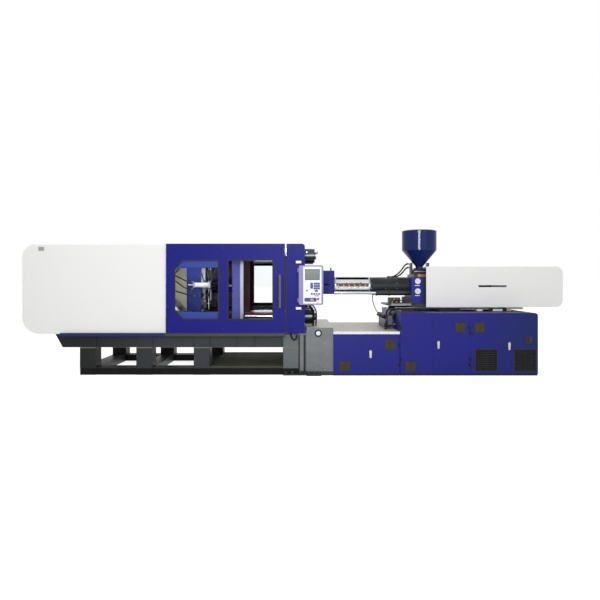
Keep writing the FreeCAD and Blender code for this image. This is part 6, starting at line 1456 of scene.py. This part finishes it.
class MACHINE_OT_stage(bpy.types.Operator):
    """Camera, soft lamps, pale floor and white surroundings"""

    bl_idname = "machine.stage"
    bl_label = "Stage"

    SHIFT = (1 / 600, -20 / 600)
    MIDDLE = (0.0, 0.0, 1.1)
    # name, spot, aim, width and height, share of the lamp power
    LAMPS = (("key_lamp", (-4.2, -7.5, 5.6), MIDDLE, (5.0, 5.0), 0.6),
             ("fill_lamp", (5.0, -8.0, 3.2), MIDDLE, (4.5, 4.5), 0.35),
             ("front_lamp", (0.0, -9.7, 2.75), MIDDLE, (2.4, 1.3), 2.6),
             ("bay_lamp", (-1.5, -0.7, 1.9), (-1.9, 0.5, 1.2), (0.9, 0.1), 0.05),
             ("back_lamp", (0.5, 9.5, 4.2), MIDDLE, (4.0, 2.0), 0.9),
             ("wall_lamp", (-2.02, -0.45, 1.3), (-2.2, 0.88, 1.3), (0.12, 0.7), 0.04))
    FLOOR_REACH = 120.0
    FLOOR_GLOW = 0.78

    def execute(self, context):
        setting = context.scene.machine_stage
        scene = context.scene
        scene.view_settings.view_transform = "Standard"
        self.place_camera(scene, setting)
        self.light_world(scene, setting)
        for name, spot, aim, size, part in self.LAMPS:
            self.place_lamp(name, spot, aim, size, setting.lamp_power * part)
        self.lay_floor()
        return {"FINISHED"}

    def place_camera(self, scene, setting):
        lens = bpy.data.cameras.new("camera")
        lens.lens = setting.lens
        lens.sensor_width = 36.0
        lens.shift_x, lens.shift_y = self.SHIFT
        lens.clip_end = 400.0
        camera = bpy.data.objects.new("camera", lens)
        camera.location = (0.0, -setting.eye_distance, setting.eye_height)
        camera.rotation_euler = (math.pi / 2, 0.0, 0.0)
        scene.collection.objects.link(camera)
        scene.camera = camera

    def place_lamp(self, name, spot, aim, size, power):
        """A soft lamp of the given width and height at the spot, facing the aim."""
        lamp = bpy.data.lights.new(name, "AREA")
        lamp.shape = "RECTANGLE"
        lamp.size, lamp.size_y = size
        lamp.energy = power
        holder = bpy.data.objects.new(name, lamp)
        holder.visible_camera = False
        away = np.subtract(spot, aim)
        holder.location = spot
        pitch = math.atan2(math.hypot(away[0], away[1]), away[2])
        holder.rotation_euler = (pitch, 0.0, math.atan2(away[1], away[0]) + math.pi / 2)
        bpy.context.scene.collection.objects.link(holder)

    def seen(self, tree):
        """One for rays from the camera, from metal and through glass, nought for the rest."""
        rays = tree.nodes.new("ShaderNodeLightPath").outputs
        return calc(tree, "MAXIMUM", rays["Is Camera Ray"], calc(
            tree, "MAXIMUM", rays["Is Glossy Ray"], rays["Is Transmission Ray"]))

    def light_world(self, scene, setting):
        """White where the camera, metal or glass looks, and an even soft light elsewhere."""
        world = bpy.data.worlds.new("surroundings")
        world.use_nodes = True
        tree = world.node_tree
        tree.nodes.clear()
        level = add(tree, "Mix", {"data_type": "FLOAT"}, _0=self.seen(tree), _2=setting.sky_level,
                    _3=1.0).outputs[0]
        back = add(tree, "Background", Color=(1, 1, 1, 1), Strength=level)
        tree.links.new(back.outputs[0], tree.nodes.new("ShaderNodeOutputWorld").inputs["Surface"])
        scene.world = world

    def lay_floor(self):
        """A wide pale floor that turns white where nothing shades it."""
        reach = self.FLOOR_REACH
        corners = [(-reach, -reach, 0), (reach, -reach, 0), (reach, reach, 0), (-reach, reach, 0)]
        mesh = bpy.data.meshes.new("floor")
        mesh.from_pydata(corners, [], [(0, 1, 2, 3)])
        material, tree, shader = blank("floor_white", Roughness=0.9, Specular_IOR_Level=0.0,
                                       Emission_Color=(1, 1, 1, 1))
        speck = spread(tree, noise(tree, object_place(tree), 3.0), 0.3, 0.7)
        fill(tree, shader, {
            "Base_Color": blend_colours(tree, speck, (0.86, 0.86, 0.86, 1), (0.88, 0.88, 0.88, 1)),
            "Emission_Strength": product(tree, self.seen(tree), self.FLOOR_GLOW)})
        mesh.materials.append(material)
        floor = bpy.data.objects.new("floor", mesh)
        bpy.context.scene.collection.objects.link(floor)


# ---------------------------------------------------------------- add-on


OPERATORS = (MACHINE_OT_stage, MACHINE_OT_heater_cable, MACHINE_OT_finishes, MACHINE_OT_guard_trim,
             MACHINE_OT_cover_trim, MACHINE_OT_clamp_plumbing, MACHINE_OT_platen_fittings,
             MACHINE_OT_control_face, MACHINE_OT_barrel_trim, MACHINE_OT_throat_trim,
             MACHINE_OT_cabinet_trim, MACHINE_OT_base_trim, MACHINE_OT_hydraulics)
GROUPS = {"machine_paints": MachinePaints, "machine_wear": MachineWear, "machine_trim": MachineTrim,
          "machine_stage": MachineStage}


class MACHINE_PT_sidebar(bpy.types.Panel):
    """Lists the machine's pieces, finishes and stage"""

    bl_idname = "MACHINE_PT_sidebar"
    bl_label = "Moulding Machine"
    bl_space_type = "VIEW_3D"
    bl_region_type = "UI"
    bl_category = "Moulding Machine"

    def draw(self, context):
        for operator in OPERATORS:
            self.layout.operator(operator.bl_idname)
        for attribute, kind in GROUPS.items():
            box = self.layout.box()
            for value in kind.__annotations__:
                box.prop(getattr(context.scene, attribute), value)


CLASSES = (*GROUPS.values(), *OPERATORS, MACHINE_PT_sidebar)


def register():
    for kind in CLASSES:
        bpy.utils.register_class(kind)
    for attribute, kind in GROUPS.items():
        setattr(bpy.types.Scene, attribute, bpy.props.PointerProperty(type=kind))


def unregister():
    for attribute in GROUPS:
        delattr(bpy.types.Scene, attribute)
    for kind in reversed(CLASSES):
        bpy.utils.unregister_class(kind)


def main():
    register()
    for operator in OPERATORS:
        family, action = operator.bl_idname.split(".")
        getattr(getattr(bpy.ops, family), action)()


if __name__ == "__main__":
    main()
